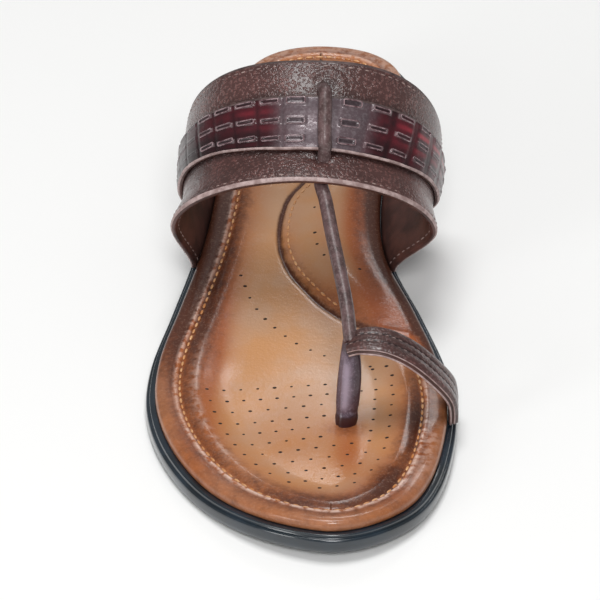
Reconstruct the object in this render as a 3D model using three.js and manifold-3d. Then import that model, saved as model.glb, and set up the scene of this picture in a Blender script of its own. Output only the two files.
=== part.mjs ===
// Flat slip-on sandal for the right foot: a broad instep band with a laced centre strip, and a
// thong that runs from a keeper on the band to a loop round the big toe. Millimetres, +Z up.
// The toe points to -Y and the big-toe (medial) side is +X.
//
// A place on the shoe is written (station, x, height). The station runs along the length, from 0
// at the back of the heel to LENGTH at the toe tip, and the height is above the floor.

import * as THREE from 'three';
import { mergeVertices } from 'three/addons/utils/BufferGeometryUtils.js';
import Module from 'manifold-3d';

const wasm = await Module();
wasm.setup();

// Driving sizes

const LENGTH = 273;
const BALL_WIDTH = 101;
const HEEL_LIFT = 15.6;
const TOE_SPRING = 3.2;
const GAP = 0.3;

// Heights of the sole's layers, all above the underside of the outsole
const WALL_TOP = 5.3;
const LEDGE = 6.6;
const FOOTBED_UNDER = LEDGE + GAP;
const FOOTBED_TOP = 10.8;

// How far the sole's layers stand in from the outline
const RIM_INSET = 1.3;
const FOOTBED_INSET = 3.2;
const GROOVE_INSET = 11.3;
const GROOVE_WIDTH = 2.2;
const GROOVE_DEPTH = 0.8;

// Heel block
const BREAST_STATION = 77;
const BREAST_HOLLOW = 5;
const HEEL_INSET = 1.4;
const HEEL_TAPER = 2.2;
const HEEL_EDGE = 0.9;
const HEEL_LEAST = 2;

// Arch pad moulded into the footbed: its middle, reaches, rise, the widths of its soft edges, and
// the stations between which its leather covers the groove
const PAD = {
  station: 117, x: 22, toHeel: 50, toToe: 44, width: 32.7, rise: 2.4, fade: 0.45, margin: 6,
  heelEnd: 62, toeEnd: 190, blend: 14,
};

// Instep band and the strip laced over it
const BAND_WALL = 2.2;
const STRIP_WALL = 1.5;
const STRIP_REAR = 0.27;
const STRIP_FRONT = 0.74;
const STRIP_WIDTH = 20;
const STRIP_END = 0.012;
const BASE_MARGIN = 0.7;
const LACE = { length: 6, width: 2.5, rise: 0.7, ramp: 0.35, end: 0.1 };
const LACE_COLUMNS = [
  { side: -1, first: 9.1, pitch: 7.8 },
  { side: 1, first: 7.6, pitch: 9.2 },
];
const LACE_ROWS = [0.09, 0.41, 0.76];

// Thong, toe loop and toe post
const THONG_RADIUS = 2.4;
const KEEPER_U = 0.518;
const LOOP_WIDTH = 12.5;
const LOOP_THICK = 3;
const LOOP_GROOVE = { depth: 0.5, width: 1.2 };
const LOOP_EDGE = 0.6;
const LOOP_UPRIGHT = 4.2;

// Half-widths of the outline. Stations are fractions of LENGTH, widths are of BALL_WIDTH.
const OUTLINE_ROWS = [
  { at: 0.016, medial: 0.19, lateral: 0.166 },
  { at: 0.057, medial: 0.298, lateral: 0.271 },
  { at: 0.131, medial: 0.336, lateral: 0.324 },
  { at: 0.236, medial: 0.305, lateral: 0.344 },
  { at: 0.335, medial: 0.258, lateral: 0.366 },
  { at: 0.445, medial: 0.27, lateral: 0.404 },
  { at: 0.553, medial: 0.37, lateral: 0.463 },
  { at: 0.653, medial: 0.451, lateral: 0.517 },
  { at: 0.732, medial: 0.479, lateral: 0.519 },
  { at: 0.811, medial: 0.466, lateral: 0.469 },
  { at: 0.885, medial: 0.424, lateral: 0.371 },
  { at: 0.938, medial: 0.356, lateral: 0.253 },
  { at: 0.973, medial: 0.267, lateral: 0.13 },
  { at: 0.993, medial: 0.178, lateral: 0.01 },
];
const TOE_TIP_X = 0.088 * BALL_WIDTH;

// Underside of the outsole: its lift off the floor as a fraction of HEEL_LIFT.
const UNDERSIDE_ROWS = [
  { at: 0, lift: 1 },
  { at: 0.12, lift: 0.97 },
  { at: 0.24, lift: 0.94 },
  { at: 0.333, lift: 0.73 },
  { at: 0.423, lift: 0.44 },
  { at: 0.588, lift: 0.128 },
  { at: 0.697, lift: 0 },
  { at: 0.895, lift: 0 },
  { at: 1, lift: TOE_SPRING / HEEL_LIFT },
];

// Arches of the band from its rear edge (v = 0) to its front edge (v = 1). The bases are stations
// on the sole, the widest places are x, and `square` is the exponent of the arch's upper half.
const BAND_ROWS = [
  { v: 0, lateralBase: 79, medialBase: 84, lateral: -42.2, medial: 42.2, widest: 40.5,
    crown: 118, top: 88, square: 2.5 },
  { v: 0.27, lateralBase: 91, medialBase: 94, lateral: -42.8, medial: 41.4, widest: 40,
    crown: 130.4, top: 81.4, square: 2.2 },
  { v: 0.74, lateralBase: 115, medialBase: 117, lateral: -42.4, medial: 39.2, widest: 36.5,
    crown: 144.4, top: 68.6, square: 2.05 },
  { v: 1, lateralBase: 128, medialBase: 129, lateral: -46, medial: 40.8, widest: 36.5,
    crown: 156.4, top: 65.4, square: 1.88 },
];

// Front edge of the strip along its run (u): it narrows towards both bases.
const STRIP_ROWS = [
  { u: 0.1, front: 0.58 },
  { u: 0.2, front: 0.595 },
  { u: 0.3, front: 0.63 },
  { u: 0.4, front: 0.7 },
  { u: 0.46, front: 0.735 },
  { u: 0.6, front: STRIP_FRONT },
  { u: 0.68, front: 0.71 },
  { u: 0.76, front: 0.65 },
  { u: 0.85, front: 0.6 },
  { u: 0.95, front: 0.58 },
];

// Keeper part of the thong: places on the band (u, v) and distances out from its wall's middle.
const KEEPER_ROWS = [
  { u: 0.511, v: 0.1, out: -4 },
  { u: 0.512, v: 0.17, out: -2.4 },
  { u: 0.513, v: 0.215, out: 1.2 },
  { u: 0.514, v: 0.27, out: 5 },
  { u: 0.515, v: 0.36, out: 5.9 },
  { u: 0.517, v: 0.5, out: 6.1 },
  { u: 0.52, v: 0.64, out: 5.8 },
  { u: 0.523, v: 0.72, out: 4.6 },
  { u: 0.524, v: 0.775, out: 1 },
  { u: 0.525, v: 0.83, out: -2.9 },
  { u: 0.526, v: 0.92, out: -3.9 },
];

// Free run of the thong from under the band's front edge down to the toe loop.
const THONG_ROWS = [
  { station: 158, x: 5, height: 59.6 },
  { station: 170, x: 7.4, height: 54.2 },
  { station: 183, x: 10.2, height: 48.4 },
  { station: 195, x: 12.6, height: 42.8 },
  { station: 205.6, x: 14.2, height: 37.2 },
];

// Middle line of the toe loop, from the thong's end over the big toe and down beside the footbed.
const LOOP_ROWS = [
  { station: 206.9, x: 13.6, height: 36.4 },
  { station: 207.4, x: 17.5, height: 38.4 },
  { station: 207.7, x: 24.5, height: 38.3 },
  { station: 207.8, x: 32.6, height: 34.4 },
  { station: 206.9, x: 40.5, height: 26.6 },
  { station: 205, x: 45.9, height: 18.2 },
];
const LOOP_BASE_STATION = 202.8;

// Sections of the toe post, from just under the loop to its seat in the footbed.
const POST_ROWS = [
  { station: 205.8, x: 13.8, height: 34, width: 5, depth: 3.8 },
  { station: 206.9, x: 13.8, height: 30, width: 6.6, depth: 4.4 },
  { station: 208.8, x: 13.5, height: 23.5, width: 7.4, depth: 4.8 },
  { station: 210.8, x: 13, height: 16.5, width: 7.2, depth: 4.6 },
  { station: 212.4, x: 12.6, height: 11, width: 6.6, depth: 4.2 },
  { station: 213.2, x: 12.4, height: 8, width: 6, depth: 4 },
];

// Side wall of the outsole from its tread up: insets from the outline, rises over the underside.
const OUTSOLE_LAYERS = [
  { inset: 1.4, rise: 0 },
  { inset: 0.3, rise: 1 },
  { inset: 0, rise: 2.4 },
  { inset: 0, rise: WALL_TOP - 0.7 },
  { inset: 0.5, rise: WALL_TOP },
  { inset: RIM_INSET, rise: WALL_TOP },
  { inset: RIM_INSET, rise: LEDGE },
];

// Rounded margin of the footbed, from its underside up and inwards to the stitched groove's edge.
const FOOTBED_LAYERS = [
  { inset: FOOTBED_INSET + 0.5, rise: FOOTBED_UNDER },
  { inset: FOOTBED_INSET, rise: FOOTBED_UNDER + 0.6 },
  { inset: FOOTBED_INSET, rise: FOOTBED_TOP - 1.7 },
  { inset: FOOTBED_INSET + 0.8, rise: FOOTBED_TOP - 0.5 },
  { inset: FOOTBED_INSET + 2.6, rise: FOOTBED_TOP },
  { inset: GROOVE_INSET - GROOVE_WIDTH / 2, rise: FOOTBED_TOP - 0.1 },
];

// Numbers of facets
const SOLE_ROWS = 40;
const SOLE_COLUMNS = 8;
const ARCH_STEPS = 44;
const BAND_STOPS = [STRIP_REAR, 0.39, 0.505, 0.62, STRIP_FRONT];
const ROUND_STEPS = 12;
const THONG_STEPS = 36;
const LOOP_STEPS = 20;
const SOLE_FINE_STEPS = 1200;
const SLOPE_STEP = 0.004;

// Small helpers

function place(station, x, height) {
  return new THREE.Vector3(x, LENGTH / 2 - station, height);
}

function smooth(from, to, value) {
  return THREE.MathUtils.smoothstep(value, from, to);
}

// A smooth function through the rows of a table, with no overshoot between two rows.
function through(rows, input, output) {
  const xs = rows.map((row) => row[input]);
  const ys = rows.map((row) => row[output]);
  const steps = xs.slice(1).map((x, i) => (ys[i + 1] - ys[i]) / (x - xs[i]));
  const slopes = xs.map((_, i) => {
    const before = steps[Math.max(i - 1, 0)];
    const after = steps[Math.min(i, steps.length - 1)];
    return before * after > 0 ? (2 * before * after) / (before + after) : 0;
  });
  return (x) => {
    let i = 0;
    while (i < xs.length - 2 && x > xs[i + 1]) {
      i += 1;
    }
    const span = xs[i + 1] - xs[i];
    const t = THREE.MathUtils.clamp((x - xs[i]) / span, 0, 1);
    const rise = ys[i + 1] - ys[i];
    const ease = t * t * (3 - 2 * t);
    const leave = t * (1 - t) * (1 - t) * slopes[i] * span;
    const arrive = t * t * (1 - t) * slopes[i + 1] * span;
    return ys[i] + rise * ease + leave - arrive;
  };
}

function geometryFrom(corners, faces) {
  const geometry = new THREE.BufferGeometry().setFromPoints(corners);
  geometry.setIndex(faces.flat());
  return geometry;
}

function solidFrom(geometry) {
  const bare = geometry.clone();
  bare.deleteAttribute('normal');
  bare.deleteAttribute('uv');
  const merged = mergeVertices(bare, 1e-4);
  return new wasm.Manifold(new wasm.Mesh({
    numProp: 3,
    vertProperties: new Float32Array(merged.attributes.position.array),
    triVerts: new Uint32Array(merged.index.array),
  }));
}

function geometryOf(solid) {
  const mesh = solid.getMesh();
  const geometry = new THREE.BufferGeometry();
  geometry.setAttribute('position', new THREE.BufferAttribute(mesh.vertProperties, 3));
  geometry.setIndex(new THREE.BufferAttribute(mesh.triVerts, 1));
  return geometry;
}

// Closes a stack of rings with the same number of corners into one body with two flat ends.
// The rings turn anticlockwise seen from the last ring back to the first.
function skin(rings) {
  const count = rings[0].length;
  const corners = rings.flat();
  const faces = [];
  for (let j = 0; j < rings.length - 1; j += 1) {
    for (let i = 0; i < count; i += 1) {
      const next = (i + 1) % count;
      const a = j * count + i;
      const b = j * count + next;
      faces.push([a, b, b + count], [a, b + count, a + count]);
    }
  }
  const ends = [rings[0], rings[rings.length - 1]].map((ring) => {
    const middle = new THREE.Vector3();
    ring.forEach((corner) => middle.addScaledVector(corner, 1 / count));
    return corners.push(middle) - 1;
  });
  const last = (rings.length - 1) * count;
  for (let i = 0; i < count; i += 1) {
    const next = (i + 1) % count;
    faces.push([ends[0], next, i], [ends[1], last + i, last + next]);
  }
  return geometryFrom(corners, faces);
}

// Outline of the sole

const underside = through(
  UNDERSIDE_ROWS.map(({ at, lift }) => ({ station: at * LENGTH, height: lift * HEEL_LIFT })),
  'station',
  'height',
);

const outlineCurve = new THREE.CatmullRomCurve3(
  [
    new THREE.Vector3(0, 0, 0),
    ...OUTLINE_ROWS.map((row) => new THREE.Vector3(row.at * LENGTH, row.medial * BALL_WIDTH, 0)),
    new THREE.Vector3(LENGTH, TOE_TIP_X, 0),
    ...OUTLINE_ROWS.map((row) => new THREE.Vector3(row.at * LENGTH, -row.lateral * BALL_WIDTH, 0))
      .reverse(),
  ],
  true,
  'centripetal',
);

const finePoints = outlineCurve.getPoints(SOLE_FINE_STEPS);
const toeIndex = finePoints.reduce((best, p, i) => (p.x > finePoints[best].x ? i : best), 0);
const outlineSides = {
  medial: finePoints.slice(0, toeIndex + 1),
  lateral: finePoints.slice(toeIndex).reverse(),
};

// x of the outline on one side, at a station.
function edgeX(side, station) {
  const points = outlineSides[side];
  const i = Math.max(1, points.findIndex((p) => p.x >= station));
  const t = (station - points[i - 1].x) / (points[i].x - points[i - 1].x);
  return THREE.MathUtils.lerp(points[i - 1].y, points[i].y, THREE.MathUtils.clamp(t, 0, 1));
}

// Corners round the outline: heel back, medial side, toe tip, lateral side.
const rowStations = Array.from(
  { length: SOLE_ROWS - 1 },
  (_, k) => (LENGTH * (1 - Math.cos((Math.PI * (k + 1)) / SOLE_ROWS))) / 2,
);
const outlineCorners = [
  new THREE.Vector2(0, 0),
  ...rowStations.map((station) => new THREE.Vector2(station, edgeX('medial', station))),
  new THREE.Vector2(LENGTH, TOE_TIP_X),
  ...rowStations.map((station) => new THREE.Vector2(station, edgeX('lateral', station)))
    .reverse(),
];
const inwards = outlineCorners.map((_, i, all) => {
  const before = all[(i + all.length - 1) % all.length];
  const after = all[(i + 1) % all.length];
  const along = after.clone().sub(before).normalize();
  return new THREE.Vector2(along.y, -along.x);
});

// A body with the sole's outline. Each layer, from the lowest up, has an inset from the outline
// and a height, a function of (station, x). The first and last layers also give both faces.
function soleBody(layers, columns) {
  const ringSize = outlineCorners.length;
  const corners = [];
  const faces = [];
  layers.forEach(({ inset, height }) => {
    outlineCorners.forEach((corner, i) => {
      const p = corner.clone().addScaledVector(inwards[i], inset);
      corners.push(place(p.x, p.y, height(p.x, p.y)));
    });
  });
  for (let j = 0; j < layers.length - 1; j += 1) {
    for (let i = 0; i < ringSize; i += 1) {
      const a = j * ringSize + i;
      const b = j * ringSize + ((i + 1) % ringSize);
      faces.push([a, a + ringSize, b + ringSize], [a, b + ringSize, b]);
    }
  }
  const addFace = (layerIndex, facesUp) => {
    const first = layerIndex * ringSize;
    const { height } = layers[layerIndex];
    const rows = [[first]];
    for (let k = 1; k < SOLE_ROWS; k += 1) {
      const medial = first + k;
      const lateral = first + ringSize - k;
      const row = [medial];
      for (let c = 1; c < columns; c += 1) {
        const p = corners[medial].clone().lerp(corners[lateral], c / columns);
        p.z = height(LENGTH / 2 - p.y, p.x);
        row.push(corners.push(p) - 1);
      }
      rows.push([...row, lateral]);
    }
    rows.push([first + SOLE_ROWS]);
    for (let k = 0; k < SOLE_ROWS; k += 1) {
      for (let c = 0; c < columns; c += 1) {
        const [near, far] = [rows[k], rows[k + 1]];
        const a = near[Math.min(c, near.length - 1)];
        const d = near[Math.min(c + 1, near.length - 1)];
        const b = far[Math.min(c, far.length - 1)];
        const e = far[Math.min(c + 1, far.length - 1)];
        const pair = [[a, d, e], [a, e, b]].filter((f) => new Set(f).size === 3);
        faces.push(...(facesUp ? pair : pair.map((f) => f.toReversed())));
      }
    }
  };
  addFace(0, false);
  addFace(layers.length - 1, true);
  return geometryFrom(corners, faces);
}

const above = (rise) => (station) => underside(station) + rise;

// Outsole: a rounded side wall, a step in at its top and a thin rim under the footbed.
function outsole() {
  return soleBody(
    OUTSOLE_LAYERS.map(({ inset, rise }) => ({ inset, height: above(rise) })),
    SOLE_COLUMNS / 2,
  );
}

// Heel block: a stacked block under the seat, flat on the floor, with a hollow front face.
function heelBlock() {
  const block = soleBody(
    [
      { inset: HEEL_INSET + HEEL_TAPER + HEEL_EDGE, height: () => 0 },
      { inset: HEEL_INSET + HEEL_TAPER, height: () => HEEL_EDGE },
      { inset: HEEL_INSET, height: (station) => Math.max(underside(station) - GAP, HEEL_LEAST) },
    ],
    SOLE_COLUMNS / 2,
  );
  const reach = BALL_WIDTH / 2;
  const front = new THREE.Shape();
  front.moveTo(-reach, LENGTH / 2 - BREAST_STATION);
  front.quadraticCurveTo(
    0,
    LENGTH / 2 - BREAST_STATION + 2 * BREAST_HOLLOW,
    reach,
    LENGTH / 2 - BREAST_STATION,
  );
  front.lineTo(BALL_WIDTH, -LENGTH);
  front.lineTo(-BALL_WIDTH, -LENGTH);
  const cutter = new THREE.ExtrudeGeometry(front, {
    depth: 3 * HEEL_LIFT,
    bevelEnabled: false,
    curveSegments: ROUND_STEPS,
  }).translate(0, 0, -HEEL_LIFT);
  return geometryOf(solidFrom(block).subtract(solidFrom(cutter)));
}

// Rise of the arch pad: a soft mound by the medial waist that fades out before the margin.
function padRise(station, x) {
  const reach = station < PAD.station ? PAD.toHeel : PAD.toToe;
  const r = Math.hypot((station - PAD.station) / reach, (x - PAD.x) / PAD.width);
  const margin = edgeX('medial', THREE.MathUtils.clamp(station, 1, LENGTH - 1)) - GROOVE_INSET;
  return PAD.rise * smooth(0, PAD.fade, 1 - r) * smooth(0, PAD.margin, margin - x);
}

// Depth of the groove at a place: the pad's leather covers it on the medial waist.
function grooveDepth(station, x) {
  const covered = smooth(PAD.heelEnd, PAD.heelEnd + PAD.blend, station)
    * (1 - smooth(PAD.toeEnd - PAD.blend, PAD.toeEnd, station));
  return x > 0 ? GROOVE_DEPTH * (1 - covered) : GROOVE_DEPTH;
}

// Footbed: a rounded margin, a stitched groove inside it and a moulded middle with an arch pad.
function footbed() {
  return soleBody(
    [
      ...FOOTBED_LAYERS.map(({ inset, rise }) => ({ inset, height: above(rise) })),
      {
        inset: GROOVE_INSET,
        height: (station, x) => underside(station) + FOOTBED_TOP - grooveDepth(station, x),
      },
      {
        inset: GROOVE_INSET + GROOVE_WIDTH / 2,
        height: (station, x) => underside(station) + FOOTBED_TOP + padRise(station, x),
      },
    ],
    SOLE_COLUMNS,
  );
}

// One arch of the band: it leaves the ledge upright on each side, swells out to its widest place
// and closes over the instep as a squared-off half ellipse.
class BandArch extends THREE.Curve {
  constructor(v) {
    super();
    BandArch.columns.forEach((key) => {
      this[key] = BandArch.read[key](v);
    });
    this.arcLengthDivisions = 160;
  }

  side(name) {
    const station = this[`${name}Base`];
    const inset = BASE_MARGIN + BAND_WALL / 2;
    return {
      station,
      x: edgeX(name, station) + (name === 'medial' ? -inset : inset),
      height: underside(station) + LEDGE + GAP,
    };
  }

  getPoint(t) {
    const foot = BandArch.FOOT;
    const middle = (this.medial + this.lateral) / 2;
    const half = (this.medial - this.lateral) / 2;
    const name = t < 0.5 ? 'lateral' : 'medial';
    const base = this.side(name);
    let x;
    let height;
    if (t < foot || t > 1 - foot) {
      const up = Math.min(t, 1 - t) / foot;
      x = THREE.MathUtils.lerp(base.x, this[name], up * up * (3 - 2 * up));
      height = THREE.MathUtils.lerp(base.height, this.widest, up);
    } else {
      const angle = (Math.PI * (t - foot)) / (1 - 2 * foot);
      const power = 2 / this.square;
      x = middle - half * Math.sign(Math.cos(angle)) * Math.abs(Math.cos(angle)) ** power;
      height = this.widest + (this.top - this.widest) * Math.abs(Math.sin(angle)) ** power;
    }
    const climb = (height - base.height) / (this.top - base.height);
    return place(base.station + (this.crown - base.station) * climb, x, height);
  }
}
BandArch.FOOT = 0.14;
BandArch.columns = Object.keys(BAND_ROWS[0]).filter((key) => key !== 'v');
BandArch.read = Object.fromEntries(
  BandArch.columns.map((key) => [key, through(BAND_ROWS, 'v', key)]),
);

const arches = new Map();

function archAt(v) {
  const key = v.toFixed(5);
  if (!arches.has(key)) {
    arches.set(key, new BandArch(v));
  }
  return arches.get(key);
}

// A point of the band: u runs along an arch from the lateral base to the medial one, v from the
// rear edge to the front edge, and `out` is the distance from the middle of the wall.
function onBand(u, v, out) {
  const step = SLOPE_STEP;
  const clampedU = THREE.MathUtils.clamp(u, step, 1 - step);
  const clampedV = THREE.MathUtils.clamp(v, step, 1 - step);
  const along = archAt(clampedV).getPointAt(clampedU + step)
    .sub(archAt(clampedV).getPointAt(clampedU - step));
  const across = archAt(clampedV + step).getPointAt(clampedU)
    .sub(archAt(clampedV - step).getPointAt(clampedU));
  const normal = across.cross(along).normalize();
  if (u < step || u > 1 - step) {
    normal.setZ(0).normalize();
  }
  return archAt(v).getPointAt(u).addScaledVector(normal, out);
}

// A closed leather wall over a grid of places on the band. Each face has its own stops across
// the wall, its own distance out from the middle of the band's wall, and `at`, which gives v at a
// stop where that isn't the stop itself.
function bandWall(us, inner, outer) {
  const corners = [];
  const faces = [];
  const quad = (a, b, c, d) => faces.push([a, b, c], [a, c, d]);
  const sheet = ({ vs, out, at = (_, v) => v }) => us.map((u) => vs.map(
    (v) => corners.push(onBand(u, at(u, v), out(u, v))) - 1,
  ));
  const inside = sheet(inner);
  const outside = sheet(outer);
  for (let i = 0; i < us.length - 1; i += 1) {
    const [a, b] = [inside[i], inside[i + 1]];
    const [c, d] = [outside[i], outside[i + 1]];
    a.slice(1).forEach((_, j) => quad(a[j], b[j], b[j + 1], a[j + 1]));
    c.slice(1).forEach((_, j) => quad(c[j], c[j + 1], d[j + 1], d[j]));
    quad(a[0], c[0], d[0], b[0]);
    quad(a.at(-1), b.at(-1), d.at(-1), c.at(-1));
  }
  const close = (low, high, turned) => {
    const fan = [
      ...high.slice(1).map((_, j) => [low[0], high[j + 1], high[j]]),
      ...low.slice(1).map((_, j) => [high.at(-1), low[j], low[j + 1]]),
    ];
    faces.push(...(turned ? fan.map((face) => face.toReversed()) : fan));
  };
  close(inside[0], outside[0], false);
  close(inside.at(-1), outside.at(-1), true);
  return geometryFrom(corners, faces);
}

function spread(from, to, count) {
  return Array.from({ length: count + 1 }, (_, i) => from + ((to - from) * i) / count);
}

const thongCurve = new THREE.CatmullRomCurve3(
  [
    ...KEEPER_ROWS.map(({ u, v, out }) => onBand(u, v, out)),
    ...THONG_ROWS.map(({ station, x, height }) => place(station, x, height)),
  ],
  false,
  'centripetal',
);

// The thong's round leather roll, or with an allowance the way that it needs through a slit.
function thongRoll(allowance) {
  const section = new THREE.Shape();
  section.absarc(0, 0, THONG_RADIUS + allowance, 0, 2 * Math.PI, false);
  return solidFrom(new THREE.ExtrudeGeometry(section, {
    steps: THONG_STEPS,
    curveSegments: ROUND_STEPS / 2,
    extrudePath: thongCurve,
  }));
}

function instepBand() {
  const half = BAND_WALL / 2;
  const vs = [0, 0.13, ...BAND_STOPS, 0.87, 1];
  const us = spread(0, 1, ARCH_STEPS);
  const wall = bandWall(us, { vs, out: () => -half }, { vs, out: () => half });
  return geometryOf(solidFrom(wall).subtract(thongRoll(GAP)));
}

// The stops, with more of them where two lie further apart than a facet of the band.
function filled(stops) {
  return stops.flatMap((stop, i) => {
    const next = stops[i + 1] ?? stop;
    const parts = Math.max(1, Math.ceil((next - stop) * ARCH_STEPS - 0.2));
    return spread(stop, next, parts).slice(0, -1);
  }).concat(stops.at(-1));
}

// Centres of the lacing bars along the strip, on both sides of the keeper.
function laceMiddles(arch) {
  const middles = [];
  LACE_COLUMNS.forEach(({ side, first, pitch }) => {
    for (let away = first; away < arch / 2; away += pitch) {
      middles.push(KEEPER_U + (side * away) / arch);
    }
  });
  return middles.filter((u) => u > LACE.end && u < 1 - LACE.end).sort((a, b) => a - b);
}

const stripFront = through(STRIP_ROWS, 'u', 'front');

// A place across the strip, 0 at its rear edge and 1 at its front edge, as v of the band.
function stripV(u, share) {
  return THREE.MathUtils.lerp(STRIP_REAR, stripFront(u), share);
}

// Centre strip: a thinner leather laid over the band, with its lacing bars raised in its wall.
function centreStrip() {
  const arch = archAt((STRIP_REAR + STRIP_FRONT) / 2).getLength();
  const bar = LACE.length / 2 / arch;
  const ramp = LACE.ramp / arch;
  const middles = laceMiddles(arch);
  const us = filled([
    STRIP_END,
    ...middles.flatMap((u) => [u - bar - ramp, u - bar, u + bar, u + bar + ramp]),
    1 - STRIP_END,
  ]);
  const barShare = LACE.width / 2 / STRIP_WIDTH;
  const rampShare = LACE.ramp / STRIP_WIDTH;
  const across = [
    0,
    ...LACE_ROWS.flatMap((row) => [
      row - barShare - rampShare, row - barShare, row + barShare, row + barShare + rampShare,
    ]),
    1,
  ];
  const raised = (u, share) => middles.some((middle) => Math.abs(u - middle) < bar + ramp / 2)
    && LACE_ROWS.some((row) => Math.abs(share - row) < barShare + rampShare / 2);
  const under = BAND_WALL / 2 + GAP;
  const over = under + STRIP_WALL;
  const wall = bandWall(
    us,
    { vs: spread(0, 1, BAND_STOPS.length - 1), out: () => under, at: stripV },
    {
      vs: across,
      out: (u, share) => over + (raised(u, share) ? LACE.rise : 0),
      at: stripV,
    },
  );
  return geometryOf(solidFrom(wall).subtract(thongRoll(GAP)));
}

// Section of the toe loop: flat inside, and three ribs between two stitched grooves outside.
function loopSection() {
  const w = LOOP_WIDTH / 2;
  const t = LOOP_THICK / 2;
  const rib = LOOP_WIDTH / 3;
  const reach = LOOP_GROOVE.width / 2;
  const groove = (at) => [[at - reach, t], [at, t - LOOP_GROOVE.depth], [at + reach, t]];
  return [
    [-w, -t + LOOP_EDGE], [-w, t - LOOP_EDGE], [-w + LOOP_EDGE, t],
    ...groove(-rib / 2), ...groove(rib / 2),
    [w - LOOP_EDGE, t], [w, t - LOOP_EDGE], [w, -t + LOOP_EDGE],
    [w - LOOP_EDGE, -t], [-w + LOOP_EDGE, -t],
  ];
}

function toeLoop() {
  const seat = {
    station: LOOP_BASE_STATION,
    x: edgeX('medial', LOOP_BASE_STATION) - FOOTBED_INSET + 1.5 * GAP + LOOP_THICK / 2,
    height: underside(LOOP_BASE_STATION) + LEDGE + GAP,
  };
  const rows = [...LOOP_ROWS, { ...seat, height: seat.height + LOOP_UPRIGHT }, seat];
  const path = new THREE.CatmullRomCurve3(
    rows.map(({ station, x, height }) => place(station, x, height)),
    false,
    'centripetal',
  );
  const rings = spread(0, 1, LOOP_STEPS).map((t) => {
    const middle = path.getPointAt(t);
    const tangent = path.getTangentAt(t);
    if (t === 1) {
      tangent.set(0, 0, -1);
    }
    const width = new THREE.Vector3(0, -1, 0).addScaledVector(tangent, tangent.y).normalize();
    const outward = new THREE.Vector3().crossVectors(width, tangent).normalize();
    return loopSection().map(([w, n]) => middle.clone()
      .addScaledVector(width, w)
      .addScaledVector(outward, n));
  });
  return solidFrom(skin(rings));
}

// Thong and toe loop: one leather, the loop's upper end wrapped on the end of the thong.
function thongAndToeLoop() {
  return geometryOf(thongRoll(0).add(toeLoop()));
}

// Toe post: a smooth folded leather with an oval section, let into a slot of the footbed. With an
// allowance it is the slot.
function toePost(allowance) {
  const rings = POST_ROWS.map(({ station, x, height, width, depth }, row) => {
    const above = POST_ROWS[Math.max(row - 1, 0)];
    const below = POST_ROWS[Math.min(row + 1, POST_ROWS.length - 1)];
    const run = place(below.station, below.x, below.height)
      .sub(place(above.station, above.x, above.height)).normalize();
    const side = new THREE.Vector3(1, 0, 0);
    const front = new THREE.Vector3().crossVectors(side, run).normalize();
    const middle = place(station, x, height);
    return spread(0, 1, ROUND_STEPS + 4).slice(0, -1).map((t) => {
      const angle = -2 * Math.PI * t;
      return middle.clone()
        .addScaledVector(side, (width / 2 + allowance) * Math.cos(angle))
        .addScaledVector(front, (depth / 2 + allowance) * Math.sin(angle));
    });
  });
  return solidFrom(skin(rings));
}

function slottedFootbed() {
  return geometryOf(solidFrom(footbed()).subtract(toePost(GAP)));
}

// Pieces and their materials

const PIECES = [
  { name: 'outsole', make: outsole, color: 0x171b1e, roughness: 0.3, metalness: 0 },
  { name: 'heel_block', make: heelBlock, color: 0x15181a, roughness: 0.55, metalness: 0 },
  { name: 'footbed', make: slottedFootbed, color: 0xb07a4e, roughness: 0.38, metalness: 0 },
  { name: 'instep_band', make: instepBand, color: 0x4c3b38, roughness: 0.42, metalness: 0.25 },
  { name: 'centre_strip', make: centreStrip, color: 0x5e2b34, roughness: 0.3, metalness: 0.1 },
  { name: 'thong_and_toe_loop', make: thongAndToeLoop, color: 0x54413e, roughness: 0.42,
    metalness: 0.25 },
  { name: 'toe_post', make: () => geometryOf(toePost(0)), color: 0x664650, roughness: 0.38,
    metalness: 0.05 },
];

const sandal = new THREE.Group();
PIECES.forEach(({ name, make, color, roughness, metalness }) => {
  const material = new THREE.MeshStandardMaterial({ color, roughness, metalness });
  const mesh = new THREE.Mesh(make(), material);
  mesh.name = name;
  sandal.add(mesh);
});

// The origin is the middle of the sandal's footprint, on the floor.
const bounds = new THREE.Box3().setFromObject(sandal);
const middle = bounds.getCenter(new THREE.Vector3());
sandal.position.set(-middle.x, -middle.y, -bounds.min.z);

export default sandal;
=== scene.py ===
"""A flat slip-on sandal for the right foot: its leathers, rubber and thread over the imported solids.

A place on the shoe is (station, x, height) in millimetres. The station runs from the back of the
heel to the toe tip, and x grows to the big-toe (medial) side. Meshes are made in metres.
"""

import logging
import math
from collections.abc import Callable, Sequence
from dataclasses import dataclass, field
from enum import Enum
from functools import cache

import bpy
import numpy as np
from mathutils import Matrix, Vector, kdtree


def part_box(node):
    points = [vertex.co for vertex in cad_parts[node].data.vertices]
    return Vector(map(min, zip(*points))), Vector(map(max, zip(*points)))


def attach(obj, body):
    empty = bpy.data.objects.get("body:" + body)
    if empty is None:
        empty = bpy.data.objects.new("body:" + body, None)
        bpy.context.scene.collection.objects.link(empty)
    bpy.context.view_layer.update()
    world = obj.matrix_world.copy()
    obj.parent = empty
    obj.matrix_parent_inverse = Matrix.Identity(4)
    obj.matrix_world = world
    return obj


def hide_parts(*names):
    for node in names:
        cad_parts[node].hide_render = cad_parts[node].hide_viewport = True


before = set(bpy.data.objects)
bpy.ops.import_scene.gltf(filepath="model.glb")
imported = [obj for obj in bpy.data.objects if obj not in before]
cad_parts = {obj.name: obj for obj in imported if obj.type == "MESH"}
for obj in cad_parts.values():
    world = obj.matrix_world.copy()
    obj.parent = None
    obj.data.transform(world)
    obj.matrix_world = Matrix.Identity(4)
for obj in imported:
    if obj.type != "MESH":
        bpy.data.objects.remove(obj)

log = logging.getLogger("sandal")

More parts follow.
